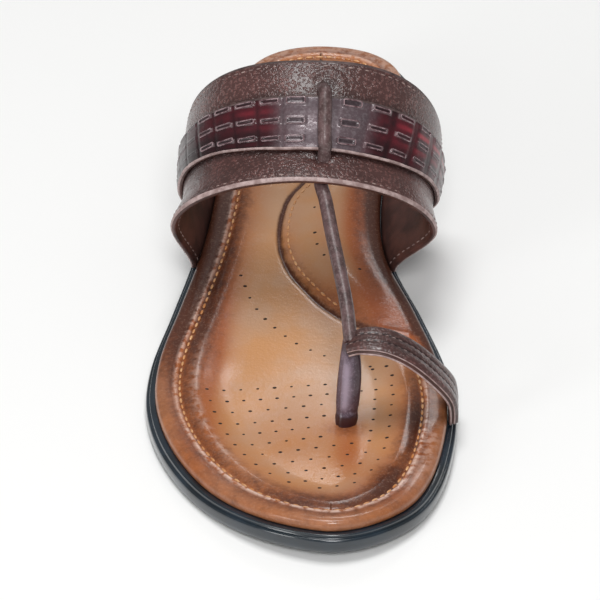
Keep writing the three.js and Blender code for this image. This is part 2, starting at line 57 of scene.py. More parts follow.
# driving sizes in millimetres; a share u runs along the band from its lateral base (0) to its medial
# one (1), and a share v runs across it from its rear edge (0) to its front edge (1)
LENGTH = 273.0
BALL_WIDTH = 101.0
HEEL_LIFT = 15.6
TOE_SPRING = 3.2
GAP = 0.3

LEDGE = 6.6
FOOTBED_UNDER = LEDGE + GAP
FOOTBED_TOP = 10.8
FOOTBED_INSET = 3.2
GROOVE_INSET = 11.3
PAD_LEATHER = 0.7

BREAST_STATION = 77.0
BREAST_HOLLOW = 5.0
BREAST_LEAN = 0.3
HEEL_INSET = 1.4
HEEL_TAPER = 2.2

BAND_WALL = 2.2
BAND_WIDTH = 45.0
STRIP_WALL = 1.5
STRIP_REAR = 0.27
STRIP_FRONT = 0.74
STRIP_SPAN = STRIP_FRONT - STRIP_REAR
STRIP_MIDDLE = (STRIP_REAR + STRIP_FRONT) / 2
STRIP_WIDTH = 20.0
STRIP_FACE = BAND_WALL / 2 + GAP + STRIP_WALL
STRIP_END = 0.012
LACE_ROWS = (0.09, 0.41, 0.76)
# side of the keeper, distance of the first bar from it, and the pitch of the bars
LACE_COLUMNS = ((-1, 9.1, 7.8), (1, 7.6, 9.2))
LACE_LENGTH = 6.1
LACE_CORNER = 0.5
LACE_THICKNESS = 0.25
SLIT_REAR = 0.2
SLIT_FRONT = 0.8
BASE_MARGIN = 0.7
FOOT_SHARE = 0.14
KEEPER_U = 0.518
THONG_WIDTH = 4.5
THONG_HEIGHT = 4.3
# depth and width of the thong's long seam, and how far it lies from the middle
THONG_SEAM = 0.4
THONG_SEAM_PLACE = 0.7
LOOP_WIDTH = 12.5
LOOP_BASE_STATION = 202.8

Points = np.ndarray
Faces = list[Sequence[int]]
# a height or distance at each place: at (station, x) on the sole, at (u, v) on the band
Surface = Callable[[Points, Points], Points]
# points, normals and directions of what lies in a row
Row = tuple[Points, Points, Points]
Triple = tuple[float, float, float]
Material = bpy.types.Material
Output = bpy.types.NodeSocket

# parts of a leather wall's section, in the order of the wall's materials
OUTSIDE, FRONT_CUT, INSIDE, REAR_CUT = range(4)


# ---------------------------------------------------------------- forms of the shoe


@dataclass(frozen=True)
class Profile:
    """A smooth function through the rows of a table, with no overshoot between two rows."""

    at: tuple[float, ...]
    values: tuple[float, ...]

    def __call__(self, x: float | Points) -> Points:
        """Reads the profile.

        Args:
            x: Where to read it.

        Returns:
            The values there.
        """
        xs, ys = np.array(self.at, float), np.array(self.values, float)
        steps = np.diff(ys) / np.diff(xs)
        before = np.concatenate([steps[:1], steps])
        after = np.concatenate([steps, steps[-1:]])
        total = np.where(before + after == 0, 1, before + after)
        slopes = np.where(before * after > 0, 2 * before * after / total, 0)
        x = np.asarray(x, float)
        i = np.clip(np.searchsorted(xs, x) - 1, 0, len(xs) - 2)
        span = xs[i + 1] - xs[i]
        t = np.clip((x - xs[i]) / span, 0, 1)
        ease = t * t * (3 - 2 * t)
        leave = t * (1 - t) ** 2 * slopes[i] * span
        arrive = t * t * (1 - t) * slopes[i + 1] * span
        return ys[i] + (ys[i + 1] - ys[i]) * ease + leave - arrive


def smooth(low: float, high: float, value: Points) -> Points:
    """A soft step, upwards or, where low is the larger of the two, downwards.

    Args:
        low: The value at which the step is still 0.
        high: The value from which on it is 1.
        value: Where to read it.

    Returns:
        The step's height.
    """
    t = np.clip((value - low) / (high - low), 0, 1)
    return t * t * (3 - 2 * t)


def bump(value: Points, width: float) -> Points:
    """A soft ridge of height 1 at 0.

    Args:
        value: Distance from the ridge's top.
        width: The distance at which it has fallen to about a third.

    Returns:
        The ridge's height.
    """
    return np.exp(-((value / width) ** 2))


def smooth_line(points: Sequence[Sequence[float]], per_span: int, closed: bool = False) -> Points:
    """A centripetal curve through the points.

    Args:
        points: The points, in order.
        per_span: How many steps there are from one point to the next.
        closed: Whether the curve goes back to the first point.

    Returns:
        The points along the curve, the last one left out where it is closed.
    """
    p = np.array(points, float)
    if closed:
        ring = np.vstack([p[-1:], p, p[:2]])
    else:
        ring = np.vstack([2 * p[:1] - p[1:2], p, 2 * p[-1:] - p[-2:-1]])
    t = (np.arange(per_span) / per_span)[:, None]
    out = []
    for x0, x1, x2, x3 in zip(ring, ring[1:], ring[2:], ring[3:]):
        d0, d1, d2 = (
            max(float(np.linalg.norm(b - a)) ** 0.5, 1e-4)
            for a, b in ((x0, x1), (x1, x2), (x2, x3))
        )
        start = ((x1 - x0) / d0 - (x2 - x0) / (d0 + d1) + (x2 - x1) / d1) * d1
        end = ((x2 - x1) / d1 - (x3 - x1) / (d1 + d2) + (x3 - x2) / d2) * d1
        c2 = -3 * x1 + 3 * x2 - 2 * start - end
        c3 = 2 * x1 - 2 * x2 + start + end
        out.append(x1 + start * t + c2 * t**2 + c3 * t**3)
    if not closed:
        out.append(p[-1:])
    return np.vstack(out)


def along_line(line: Points) -> Points:
    """Distances along a line.

    Args:
        line: Its points.

    Returns:
        The length of the line up to each point.
    """
    return np.concatenate([[0], np.cumsum(np.linalg.norm(np.diff(line, axis=0), axis=1))])


def spaced(line: Points, pitch: float, start: float = 0.0) -> Points:
    """Points a pitch apart on a line.

    Args:
        line: The line's points.
        pitch: Distance from one point to the next.
        start: Distance of the first one from the line's start.

    Returns:
        The points.
    """
    run = along_line(line)
    at = np.arange(start, run[-1], pitch)
    return np.stack([np.interp(at, run, line[:, k]) for k in range(line.shape[1])], axis=1)


def unit(vectors: Points) -> Points:
    """The vectors at length 1.

    Args:
        vectors: One vector in each row.

    Returns:
        The unit vectors.
    """
    return vectors / np.maximum(np.linalg.norm(vectors, axis=-1, keepdims=True), 1e-9)


def place(station: Points, x: Points, height: Points) -> Points:
    """Places on the shoe as points in space, in millimetres.

    Args:
        station: Distance from the back of the heel.
        x: Distance to the medial side.
        height: Height above the floor.

    Returns:
        One point for each place.
    """
    parts = np.broadcast_arrays(x, LENGTH / 2 - np.asarray(station, float), height)
    return np.stack([np.asarray(part, float) for part in parts], axis=-1)


class Side(Enum):
    """The two sides of the right shoe."""

    MEDIAL = "medial"
    LATERAL = "lateral"


@dataclass
class SoleForm:
    """Outline, underside and footbed relief of the sole."""

    # station share, medial half-width, lateral half-width
    rows: tuple[tuple[float, float, float], ...] = (
        (0.016, 0.19, 0.166), (0.057, 0.298, 0.271), (0.131, 0.336, 0.324),
        (0.236, 0.305, 0.344), (0.335, 0.258, 0.366), (0.445, 0.27, 0.404),
        (0.553, 0.37, 0.463), (0.653, 0.451, 0.517), (0.732, 0.479, 0.519),
        (0.811, 0.466, 0.469), (0.885, 0.424, 0.371), (0.938, 0.356, 0.253),
        (0.973, 0.267, 0.13), (0.993, 0.178, 0.01),
    )
    toe_tip: float = 0.088
    lifts: Profile = Profile(
        (0, 0.12, 0.24, 0.333, 0.423, 0.588, 0.697, 0.895, 1),
        (1, 0.97, 0.94, 0.73, 0.44, 0.128, 0, 0, TOE_SPRING / HEEL_LIFT),
    )
    pad_station: float = 117
    pad_x: float = 22
    pad_rise: float = 2.4
    # the seam round the arch pad, from its rear end to its front end: station, x
    pad_seam: tuple[tuple[float, float], ...] = (
        (64, 27), (69, 15), (77.5, 5), (89, -2.8), (98, -8.2), (110, -10.6), (122, -10.2),
        (133.5, -6.7), (142, -1.6), (148.6, 3), (153.6, 7.6), (158.2, 13.2), (162, 19.6),
        (165, 26), (167, 33),
    )
    outline: Points = field(init=False)
    seam_line: Points = field(init=False)
    near_edge: kdtree.KDTree = field(init=False)

    def __post_init__(self) -> None:
        """Works out the outline and the seam."""
        table = np.array(self.rows)
        medial = np.c_[table[:, 0] * LENGTH, table[:, 1] * BALL_WIDTH]
        lateral = np.c_[table[:, 0] * LENGTH, -table[:, 2] * BALL_WIDTH][::-1]
        tip = [[LENGTH, self.toe_tip * BALL_WIDTH]]
        points = np.vstack([[[0, 0]], medial, tip, lateral])
        self.outline = smooth_line(points, 120, closed=True)
        self.seam_line = smooth_line(self.pad_seam, 24)
        self.near_edge = kdtree.KDTree(len(self.outline))
        for i, (station, x) in enumerate(self.outline):
            self.near_edge.insert((station, x, 0), i)
        self.near_edge.balance()

    def edge(self, side: Side, station: float | Points) -> Points:
        """The outline's x on one side.

        Args:
            side: Which side.
            station: Where along the shoe.

        Returns:
            x of the outline there.
        """
        tip = int(np.argmax(self.outline[:, 0]))
        if side is Side.MEDIAL:
            line = self.outline[: tip + 1]
        else:
            line = np.vstack([self.outline[tip:], self.outline[:1]])[::-1]
        return np.interp(station, line[:, 0], line[:, 1])

    def underside(self, station: float | Points) -> Points:
        """Height of the outsole's underside at a station."""
        return self.lifts(np.asarray(station, float) / LENGTH) * HEEL_LIFT

    def from_edge(self, station: Points, x: Points) -> Points:
        """Distance of each place from the outline.

        Args:
            station: Stations of the places.
            x: Their x.

        Returns:
            The distances.
        """
        flat = np.c_[np.ravel(station), np.ravel(x), np.zeros(np.size(x))]
        found = [self.near_edge.find(place_)[2] for place_ in flat]
        return np.array(found).reshape(np.shape(x))

    def from_seam(self, station: Points, x: Points) -> Points:
        """Signed distance from the arch pad's seam.

        Args:
            station: Stations of the places.
            x: Their x.

        Returns:
            The distances, positive on the pad.
        """
        flat = np.c_[np.ravel(station), np.ravel(x)]
        line = self.seam_line
        out = np.empty(len(flat))
        step = np.gradient(line, axis=0)
        at_once = 4000
        for start in range(0, len(flat), at_once):
            part = flat[start : start + at_once]
            offset = part[:, None, :] - line[None]
            distance = np.hypot(offset[..., 0], offset[..., 1])
            i = distance.argmin(1)
            rows = np.arange(len(part))
            turn = step[i, 0] * offset[rows, i, 1] - step[i, 1] * offset[rows, i, 0]
            out[start : start + at_once] = np.where(turn > 0, 1, -1) * distance[rows, i]
        return out.reshape(np.shape(x))

    def pad(self, station: Points, x: Points) -> Points:
        """Rise of the arch pad, a soft mound by the medial waist.

        Args:
            station: Stations of the places.
            x: Their x.

        Returns:
            The rise at each place.
        """
        reach = np.where(station < self.pad_station, 50, 44)
        r = np.hypot((station - self.pad_station) / reach, (x - self.pad_x) / 32.7)
        margin = self.edge(Side.MEDIAL, np.clip(station, 1, LENGTH - 1)) - GROOVE_INSET
        return self.pad_rise * smooth(0, 0.45, 1 - r) * smooth(-3, 13, margin - x)

    @staticmethod
    def covered(station: Points, x: Points) -> Points:
        """Share in which the pad's leather covers the groove, on the medial waist.

        Args:
            station: Stations of the places.
            x: Their x.

        Returns:
            1 where the groove is covered, 0 where it is open.
        """
        return smooth(62, 76, station) * smooth(190, 176, station) * smooth(2, 8, x)

    def footbed(self, station: Points, x: Points) -> Points:
        """Height of the footbed's moulded middle, inside its groove.

        Args:
            station: Stations of the places.
            x: Their x.

        Returns:
            The heights.
        """
        inside = self.from_edge(station, x) - GROOVE_INSET
        seam = self.from_seam(station, x)
        height = self.underside(station) + FOOTBED_TOP + self.pad(station, x)
        open_ = 1 - self.covered(station, x)
        # a low swell inside the groove, and the middle sunk behind it
        height = height + 0.35 * bump(inside - 4.6, 1.9) * open_
        waist = bump(station - 110, 52)
        height = height - (1.25 - 0.8 * waist) * smooth(5, 16, inside)
        # the pad's own leather, and the line pressed beside its edge
        over = np.maximum(smooth(0, 5, inside), 1 - open_)
        height = height + PAD_LEATHER * smooth(-0.5, 0.7, seam) * over
        height = height - 0.5 * bump(seam + 0.9, 0.8) * smooth(0, 4, inside)
        for trough in FOOTBED_TROUGHS:
            height = height - trough.deep * trough.soft(station, x, trough.turn)
        return height

    def corners(self, rows: int) -> tuple[Points, Points]:
        """Corners round the outline and the ways inwards from them.

        Args:
            rows: Number of rows of the sole from heel to toe.

        Returns:
            The corners (heel back, medial side, toe tip, lateral side) and unit vectors inwards.
        """
        stations = LENGTH * (1 - np.cos(np.pi * np.arange(1, rows) / rows)) / 2
        ring = np.vstack([
            [[0, 0]],
            np.c_[stations, self.edge(Side.MEDIAL, stations)],
            [[LENGTH, self.toe_tip * BALL_WIDTH]],
            np.c_[stations, self.edge(Side.LATERAL, stations)][::-1],
        ])
        step = unit(np.roll(ring, -1, 0) - np.roll(ring, 1, 0))
        return ring, np.c_[step[:, 1], -step[:, 0]]


@dataclass(frozen=True)
class Patch:
    """A soft oval patch on the footbed."""

    station: float
    x: float
    long: float
    wide: float

    def soft(self, station: Points, x: Points, turn: float = 0) -> Points:
        """Strength of the patch at each place.

        Args:
            station: Stations of the places.
            x: Their x.
            turn: How far the patch is turned, in degrees.

        Returns:
            The strengths, 1 at the patch's middle.
        """
        c, s = math.cos(math.radians(turn)), math.sin(math.radians(turn))
        a = (station - self.station) * c + (x - self.x) * s
        b = (x - self.x) * c - (station - self.station) * s
        return np.exp(-((a / self.long) ** 2) - (b / self.wide) ** 2)


@dataclass(frozen=True)
class Trough(Patch):
    """A soft trough worn into the footbed."""

    turn: float
    deep: float


FOOTBED_TROUGHS = (
    Trough(38, 0, 26, 20, 0, 0.7),
    Trough(207, -14, 22, 15, 12, 0.35),
    Trough(222, 26, 13, 7, 15, 0.3),
    Trough(180, -22, 16, 6, -14, 0.2),
)


@dataclass
class BandForm:
    """Arches of the instep band from its rear edge (v = 0) to its front edge (v = 1)."""

    sole: SoleForm
    # v, lateral base, medial base, lateral x, medial x, widest height, crown, top, squareness
    rows: tuple[tuple[float, ...], ...] = (
        (0, 79, 84, -42.2, 42.2, 40.5, 118, 88, 2.5),
        (0.27, 91, 94, -42.8, 41.4, 40, 130.4, 81.4, 2.2),
        (0.74, 115, 117, -42.4, 39.2, 36.5, 144.4, 68.6, 2.05),
        (1, 128, 129, -46, 40.8, 36.5, 156.4, 65.4, 1.88),
    )
    samples: int = 480
    # how far to each side a direction on the band is read, as a share
    reach: float = 0.004

    def arch(self, v: float) -> Points:
        """The arch at v, as a fine line from the lateral base to the medial one.

        Args:
            v: Which arch.

        Returns:
            Points along it, in millimetres.
        """
        columns = list(zip(*self.rows))
        read = [float(Profile(columns[0], column)(v)) for column in columns[1:]]
        lateral_base, medial_base, lateral, medial, widest, crown, top, square = read
        t = np.linspace(0, 1, self.samples + 1)
        on_lateral = t < 0.5
        inset = BASE_MARGIN + BAND_WALL / 2
        base_station = np.where(on_lateral, lateral_base, medial_base)
        base_x = np.where(
            on_lateral,
            self.sole.edge(Side.LATERAL, lateral_base) + inset,
            self.sole.edge(Side.MEDIAL, medial_base) - inset,
        )
        base_height = self.sole.underside(base_station) + LEDGE + GAP
        up = np.minimum(t, 1 - t) / FOOT_SHARE
        wide = np.where(on_lateral, lateral, medial)
        low_x = base_x + (wide - base_x) * up * up * (3 - 2 * up)
        low_height = base_height + (widest - base_height) * up
        angle = np.pi * (t - FOOT_SHARE) / (1 - 2 * FOOT_SHARE)
        cos, sin = np.cos(angle), np.abs(np.sin(angle))
        x = (medial + lateral) / 2
        x = x - (medial - lateral) / 2 * np.sign(cos) * np.abs(cos) ** (2 / square)
        height = widest + (top - widest) * sin ** (2 / square)
        low = up < 1
        x = np.where(low, low_x, x)
        height = np.where(low, low_height, height)
        climb = (height - base_height) / (top - base_height)
        return place(base_station + (crown - base_station) * climb, x, height)

    def middle(self, us: Points, v: float) -> Points:
        """Points of one arch, on the middle of the wall.

        Args:
            us: Shares of the arch's length.
            v: Which arch.

        Returns:
            The points.
        """
        line = self.arch(v)
        run = along_line(line)
        at = np.clip(us, 0, 1) * run[-1]
        return np.stack([np.interp(at, run, line[:, k]) for k in range(3)], axis=1)

    def sheet(self, us: Points, vs: Points) -> tuple[Points, Points]:
        """A grid of points on the wall's middle, and its outward normals.

        Args:
            us: Shares along the arches.
            vs: The arches.

        Returns:
            Points and normals with the shape (u, v, 3).
        """
        step = self.reach
        cu, cv = np.clip(us, step, 1 - step), np.clip(vs, step, 1 - step)
        points = np.stack([self.middle(us, v) for v in vs], axis=1)
        along = np.stack([self.middle(cu + step, v) - self.middle(cu - step, v) for v in cv], axis=1)
        across = np.stack([self.middle(cu, v + step) - self.middle(cu, v - step) for v in cv], axis=1)
        normals = unit(np.cross(across, along))
        ends = (us < step) | (us > 1 - step)
        normals[ends, :, 2] = 0
        return points, unit(normals)

    def spots(self, us: Points, vs: Points, out: float | Points) -> Row:
        """Single places on the band.

        Args:
            us: Share along the arch of each place.
            vs: Arch of each place.
            out: Distance out from the wall's middle.

        Returns:
            Their points, normals and directions along the arch.
        """
        us, vs, out = np.broadcast_arrays(us, vs, out)
        points, normals, alongs = [], [], []
        for u, v, o in zip(us, vs, out):
            p, n = self.sheet(np.array([u - self.reach, u, u + self.reach]), np.array([v]))
            points.append(p[1, 0] + n[1, 0] * o)
            normals.append(n[1, 0])
            alongs.append(p[2, 0] - p[0, 0])
        return np.array(points), np.array(normals), unit(np.array(alongs))

    def length(self, v: float) -> float:
        """Length of the arch at v."""
        return float(along_line(self.arch(v))[-1])


# ---------------------------------------------------------------- meshes


def shoe_shift(sole: SoleForm) -> float:
    """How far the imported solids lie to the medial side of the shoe's own x.

    Args:
        sole: The sole's form.

    Returns:
        The shift in millimetres.
    """
    low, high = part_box("outsole")
    own = (sole.outline[:, 1].min() + sole.outline[:, 1].max()) / 2
    return (low.x + high.x) * 500 - own


def linked(name: str, data: bpy.types.ID) -> bpy.types.Object:
    """Makes an object of its data and links it to the scene."""
    item = bpy.data.objects.new(name, data)
    bpy.context.scene.collection.objects.link(item)
    return item


def mark(mesh: bpy.types.Mesh, key: str, values: Points) -> None:
    """Gives each corner of a mesh a named number or vector.

    Args:
        mesh: The mesh.
        key: The name.
        values: A number or a vector in each row.
    """
    values = np.asarray(values, np.float32)
    kind, slot = ("FLOAT_VECTOR", "vector") if values.ndim == 2 else ("FLOAT", "value")
    mesh.attributes.new(key, kind, "POINT").data.foreach_set(slot, values.ravel())


@dataclass
class Bench:
    """Makes the objects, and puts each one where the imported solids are."""

    shift: float
    made: list[bpy.types.Object] = field(default_factory=list)

    def placed(self, points: Points) -> Points:
        """Points on the shoe, in millimetres, as points in the frame, in metres."""
        return (points + np.array([self.shift, 0, 0])) / 1000

    def piece(
        self,
        name: str,
        node: str,
        points: Points,
        faces: Faces,
        materials: Sequence[Material],
        parts: Points | None = None,
        masks: dict[str, Points] | None = None,
    ) -> None:
        """Makes one closed body and hands it to the frame.

        Args:
            name: The piece's name.
            node: The solid that it stands for, whose material slot has the same name.
            points: Its corners in millimetres, on the shoe.
            faces: Its faces as corner numbers.
            materials: Its materials.
            parts: Which material each face has.
            masks: Named values of each corner, for the materials.
        """
        mesh = bpy.data.meshes.new(name)
        mesh.from_pydata(self.placed(points).tolist(), [], [list(face) for face in faces])
        for material in materials:
            mesh.materials.append(material)
        if parts is not None:
            mesh.polygons.foreach_set("material_index", np.asarray(parts, np.int32))
        mesh.polygons.foreach_set("use_smooth", np.ones(len(mesh.polygons), bool))
        for key, values in (masks or {}).items():
            mark(mesh, key, values)
        mesh.update()
        if self.volume(mesh) < 0:
            mesh.flip_normals()
        self.ready(linked(name, mesh), node, node)

    @staticmethod
    def volume(mesh: bpy.types.Mesh) -> float:
        """Signed volume of a mesh.

        Args:
            mesh: The mesh.

        Returns:
            The volume, below 0 where the faces point inwards.
        """
        mesh.calc_loop_triangles()
        corners = np.zeros(len(mesh.vertices) * 3)
        mesh.vertices.foreach_get("co", corners)
        order = np.zeros(len(mesh.loop_triangles) * 3, np.int32)
        mesh.loop_triangles.foreach_get("vertices", order)
        a, b, c = corners.reshape(-1, 3)[order.reshape(-1, 3)].transpose(1, 0, 2)
        return float(np.einsum("ij,ij->", a, np.cross(b, c))) / 6

    def ready(self, item: bpy.types.Object, slot: str, *nodes: str) -> None:
        """Hands a finished piece to the frame.

        Args:
            item: The piece.
            slot: The record's material slot; it is not used.
            nodes: The solids that it stands for.
        """
        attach(item, "root")
        if nodes:
            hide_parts(*nodes)
        triangles = sum(len(face.vertices) - 2 for face in item.data.polygons)
        log.info("%s: %d triangles", item.name, triangles)
        self.made.append(item)


def ring_faces(first: int, second: int, count: int) -> Faces:
    """Faces between two rings of corners.

    Args:
        first: Number of the first ring's first corner.
        second: Number of the second ring's first corner.
        count: Corners in each ring.

    Returns:
        The faces.
    """
    return [
        (first + i, first + (i + 1) % count, second + (i + 1) % count, second + i)
        for i in range(count)
    ]


def swept(rings: Points) -> tuple[Points, Faces]:
    """Closes a stack of rings into one body with two ends.

    Args:
        rings: Points with the shape (ring, corner, 3).

    Returns:
        Its points and faces; the faces between rings come first.
    """
    count, size = rings.shape[:2]
    points = np.vstack([rings.reshape(-1, 3), rings[0].mean(0), rings[-1].mean(0)])
    faces: Faces = []
    for j in range(count - 1):
        faces += ring_faces(j * size, (j + 1) * size, size)
    last, ends = (count - 1) * size, count * size
    for i in range(size):
        after = (i + 1) % size
        faces.append((ends, after, i))
        faces.append((ends + 1, last + i, last + after))
    return points, faces


Layer = tuple[float, Surface]


def sole_body(sole: SoleForm, rows: int, columns: int, layers: Sequence[Layer]) -> tuple[Points, Faces]:
    """A body with the sole's outline.

    Args:
        sole: The sole's form.
        rows: Rows from heel to toe.
        columns: Columns across the two faces.
        layers: From the lowest up, each one's inset from the outline and its height function.

    Returns:
        Its points and faces.
    """
    ring, inwards = sole.corners(rows)
    size = len(ring)
    stack = []
    for inset, height in layers:
        p = ring + inwards * inset
        stack.append(place(p[:, 0], p[:, 1], height(p[:, 0], p[:, 1])))
    faces: Faces = []
    for j in range(len(layers) - 1):
        faces += [face[::-1] for face in ring_faces(j * size, (j + 1) * size, size)]
    total = len(layers) * size
    for layer, upward in ((0, False), (len(layers) - 1, True)):
        medial = stack[layer][1:rows]
        lateral = stack[layer][: rows : -1][: rows - 1]
        w = (np.arange(1, columns) / columns)[None, :, None]
        inner = medial[:, None] * (1 - w) + lateral[:, None] * w
        inner[..., 2] = layers[layer][1](LENGTH / 2 - inner[..., 1], inner[..., 0])
        stack.append(inner.reshape(-1, 3))
        first = layer * size
        index = np.empty((rows + 1, columns + 1), int)
        index[0], index[rows] = first, first + rows
        index[1:rows, 0] = first + np.arange(1, rows)
        index[1:rows, columns] = first + size - np.arange(1, rows)
        index[1:rows, 1:columns] = total + np.arange((rows - 1) * (columns - 1)).reshape(rows - 1, -1)
        total += (rows - 1) * (columns - 1)
        for near, far in zip(index, index[1:]):
            for a, d, b, e in zip(near, near[1:], far, far[1:]):
                face = list(dict.fromkeys((int(a), int(d), int(e), int(b))))
                faces.append(face if upward else face[::-1])
    return np.vstack(stack), faces


# ---------------------------------------------------------------- materials


def linear(hex_colour: str) -> tuple[float, float, float, float]:
    """An sRGB hex colour as linear values.

    Args:
        hex_colour: Six hex digits.

    Returns:
        Linear red, green, blue and 1.
    """
    parts = [int(hex_colour[i : i + 2], 16) / 255 for i in (0, 2, 4)]
    values = [c / 12.92 if c <= 0.04045 else ((c + 0.055) / 1.055) ** 2.4 for c in parts]
    return values[0], values[1], values[2], 1.0


def per_mm(size: float) -> float:
    """Scale of a pattern on Object coordinates whose features are that many millimetres wide."""
    return 1000 / size


def add(tree: bpy.types.NodeTree, kind: str, inputs: dict | None = None, **settings) -> bpy.types.Node:
    """Adds a node with its settings and links.

    Args:
        tree: The node tree.
        kind: The node's type.
        inputs: For an input's name or number, the value or the output that goes to it.
        settings: The node's own settings.

    Returns:
        The node.
    """
    made = tree.nodes.new(kind)
    for key, value in settings.items():
        setattr(made, key, value)
    for key, value in (inputs or {}).items():
        if isinstance(value, Output):
            tree.links.new(value, made.inputs[key])
        else:
            made.inputs[key].default_value = value
    return made


def maths(
    tree: bpy.types.NodeTree, operation: str, a: Output | float, b: Output | float = 0.0
) -> Output:
    """Adds one step of arithmetic.

    Args:
        tree: The node tree.
        operation: What is done.
        a: The first value.
        b: The second value, where the operation has one.

    Returns:
        The result.
    """
    return add(tree, "ShaderNodeMath", {0: a, 1: b}, operation=operation).outputs[0]


class Shader:
    """A material's node tree, with the few moves that the finishes share."""

    def __init__(self, name: str, **principled: float) -> None:
        """Starts a material.

        Args:
            name: The material's name.
            principled: Values for the shader's own sockets, with _ for a space.
        """
        self.material = bpy.data.materials.new(name)
        self.material.use_nodes = True
        self.tree = self.material.node_tree
        self.tree.nodes.clear()
        self.surface = add(self.tree, "ShaderNodeBsdfPrincipled")
        for key, value in principled.items():
            self.surface.inputs[key.replace("_", " ")].default_value = value
        add(self.tree, "ShaderNodeOutputMaterial", {"Surface": self.surface.outputs[0]})
        self.place = add(self.tree, "ShaderNodeTexCoord").outputs["Object"]

    def mask(self, name: str) -> Output:
        """One of the piece's own named values."""
        return add(self.tree, "ShaderNodeAttribute", attribute_name=name).outputs["Fac"]

    def noise(self, size: float, detail: float = 3, roughness: float = 0.55) -> Output:
        """Cloudy noise.

        Args:
            size: Width of its clouds in millimetres.
            detail: Number of finer layers.
            roughness: How strong these are.

        Returns:
            Values round 0.5.
        """
        inputs = {"Vector": self.place, "Scale": per_mm(size), "Detail": detail, "Roughness": roughness}
        return add(self.tree, "ShaderNodeTexNoise", inputs).outputs["Fac"]

    def bent(self, size: float, reach: float) -> Output:
        """Places moved a little by a noise, so that a pattern on them isn't regular.

        Args:
            size: Width of the noise's clouds in millimetres.
            reach: How far a place moves, in metres.

        Returns:
            The moved places.
        """
        inputs = {"Vector": self.place, "Scale": per_mm(size), "Detail": 2.0}
        cloud = add(self.tree, "ShaderNodeTexNoise", inputs).outputs["Color"]
        inputs = {0: cloud, 1: (reach, reach, reach), 2: self.place}
        return add(self.tree, "ShaderNodeVectorMath", inputs, operation="MULTIPLY_ADD").outputs[0]

    def cells(self, size: float, vector: Output | None = None) -> Output:
        """Distances in a pattern of round cells.

        Args:
            size: Width of a cell in millimetres.
            vector: The places that the pattern is read at, where not the object's own.

        Returns:
            The distances, 0 at a cell's middle.
        """
        inputs = {"Vector": self.place if vector is None else vector, "Scale": per_mm(size)}
        made = add(self.tree, "ShaderNodeTexVoronoi", inputs, feature="F1")
        return made.outputs["Distance"]

    def ramp(self, value: Output, low: float, high: float) -> Output:
        """Stretches a value.

        Args:
            value: What is stretched.
            low: The value that becomes 0.
            high: The value that becomes 1.

        Returns:
            The stretched value, kept between 0 and 1.
        """
        inputs = {"Value": value, "From Min": low, "From Max": high}
        return add(self.tree, "ShaderNodeMapRange", inputs, interpolation_type="SMOOTHSTEP").outputs[0]

    def times(self, a: Output, b: Output | float) -> Output:
        """The product of two values."""
        return maths(self.tree, "MULTIPLY", a, b)

    def plus(self, a: Output, b: Output | float) -> Output:
        """The sum of two values."""
        return maths(self.tree, "ADD", a, b)

    def mix(self, share: Output, first: Output | str, second: Output | str) -> Output:
        """Mixes two colours.

        Args:
            share: 0 for the first one, 1 for the second one.
            first: A colour or a hex value.
            second: A colour or a hex value.

        Returns:
            The mixed colour.
        """
        made = add(self.tree, "ShaderNodeMix", {0: share}, data_type="RGBA")
        for number, colour in ((6, first), (7, second)):
            if isinstance(colour, str):
                made.inputs[number].default_value = linear(colour)
            else:
                self.tree.links.new(colour, made.inputs[number])
        return made.outputs[2]

    def colour(self, colour: Output | str) -> None:
        """Sets the base colour."""
        self.set("Base Color", linear(colour) if isinstance(colour, str) else colour)

    def set(self, name: str, value: Output | float | tuple) -> None:
        """Sets or links one of the shader's sockets.

        Args:
            name: The socket.
            value: A value or what is linked to it.
        """
        if isinstance(value, Output):
            self.tree.links.new(value, self.surface.inputs[name])
        else:
            self.surface.inputs[name].default_value = value

    def relief(self, *layers: tuple[Output, float]) -> None:
        """Gives the surface a fine relief.

        Args:
            layers: For each pattern its values and its height in millimetres.
        """
        normal = None
        for values, height in layers:
            inputs = {"Height": values, "Distance": height / 1000, "Strength": 1.0}
            if normal is not None:
                inputs["Normal"] = normal
            normal = add(self.tree, "ShaderNodeBump", inputs).outputs[0]
        self.set("Normal", normal)
        self.set("Coat Normal", normal)


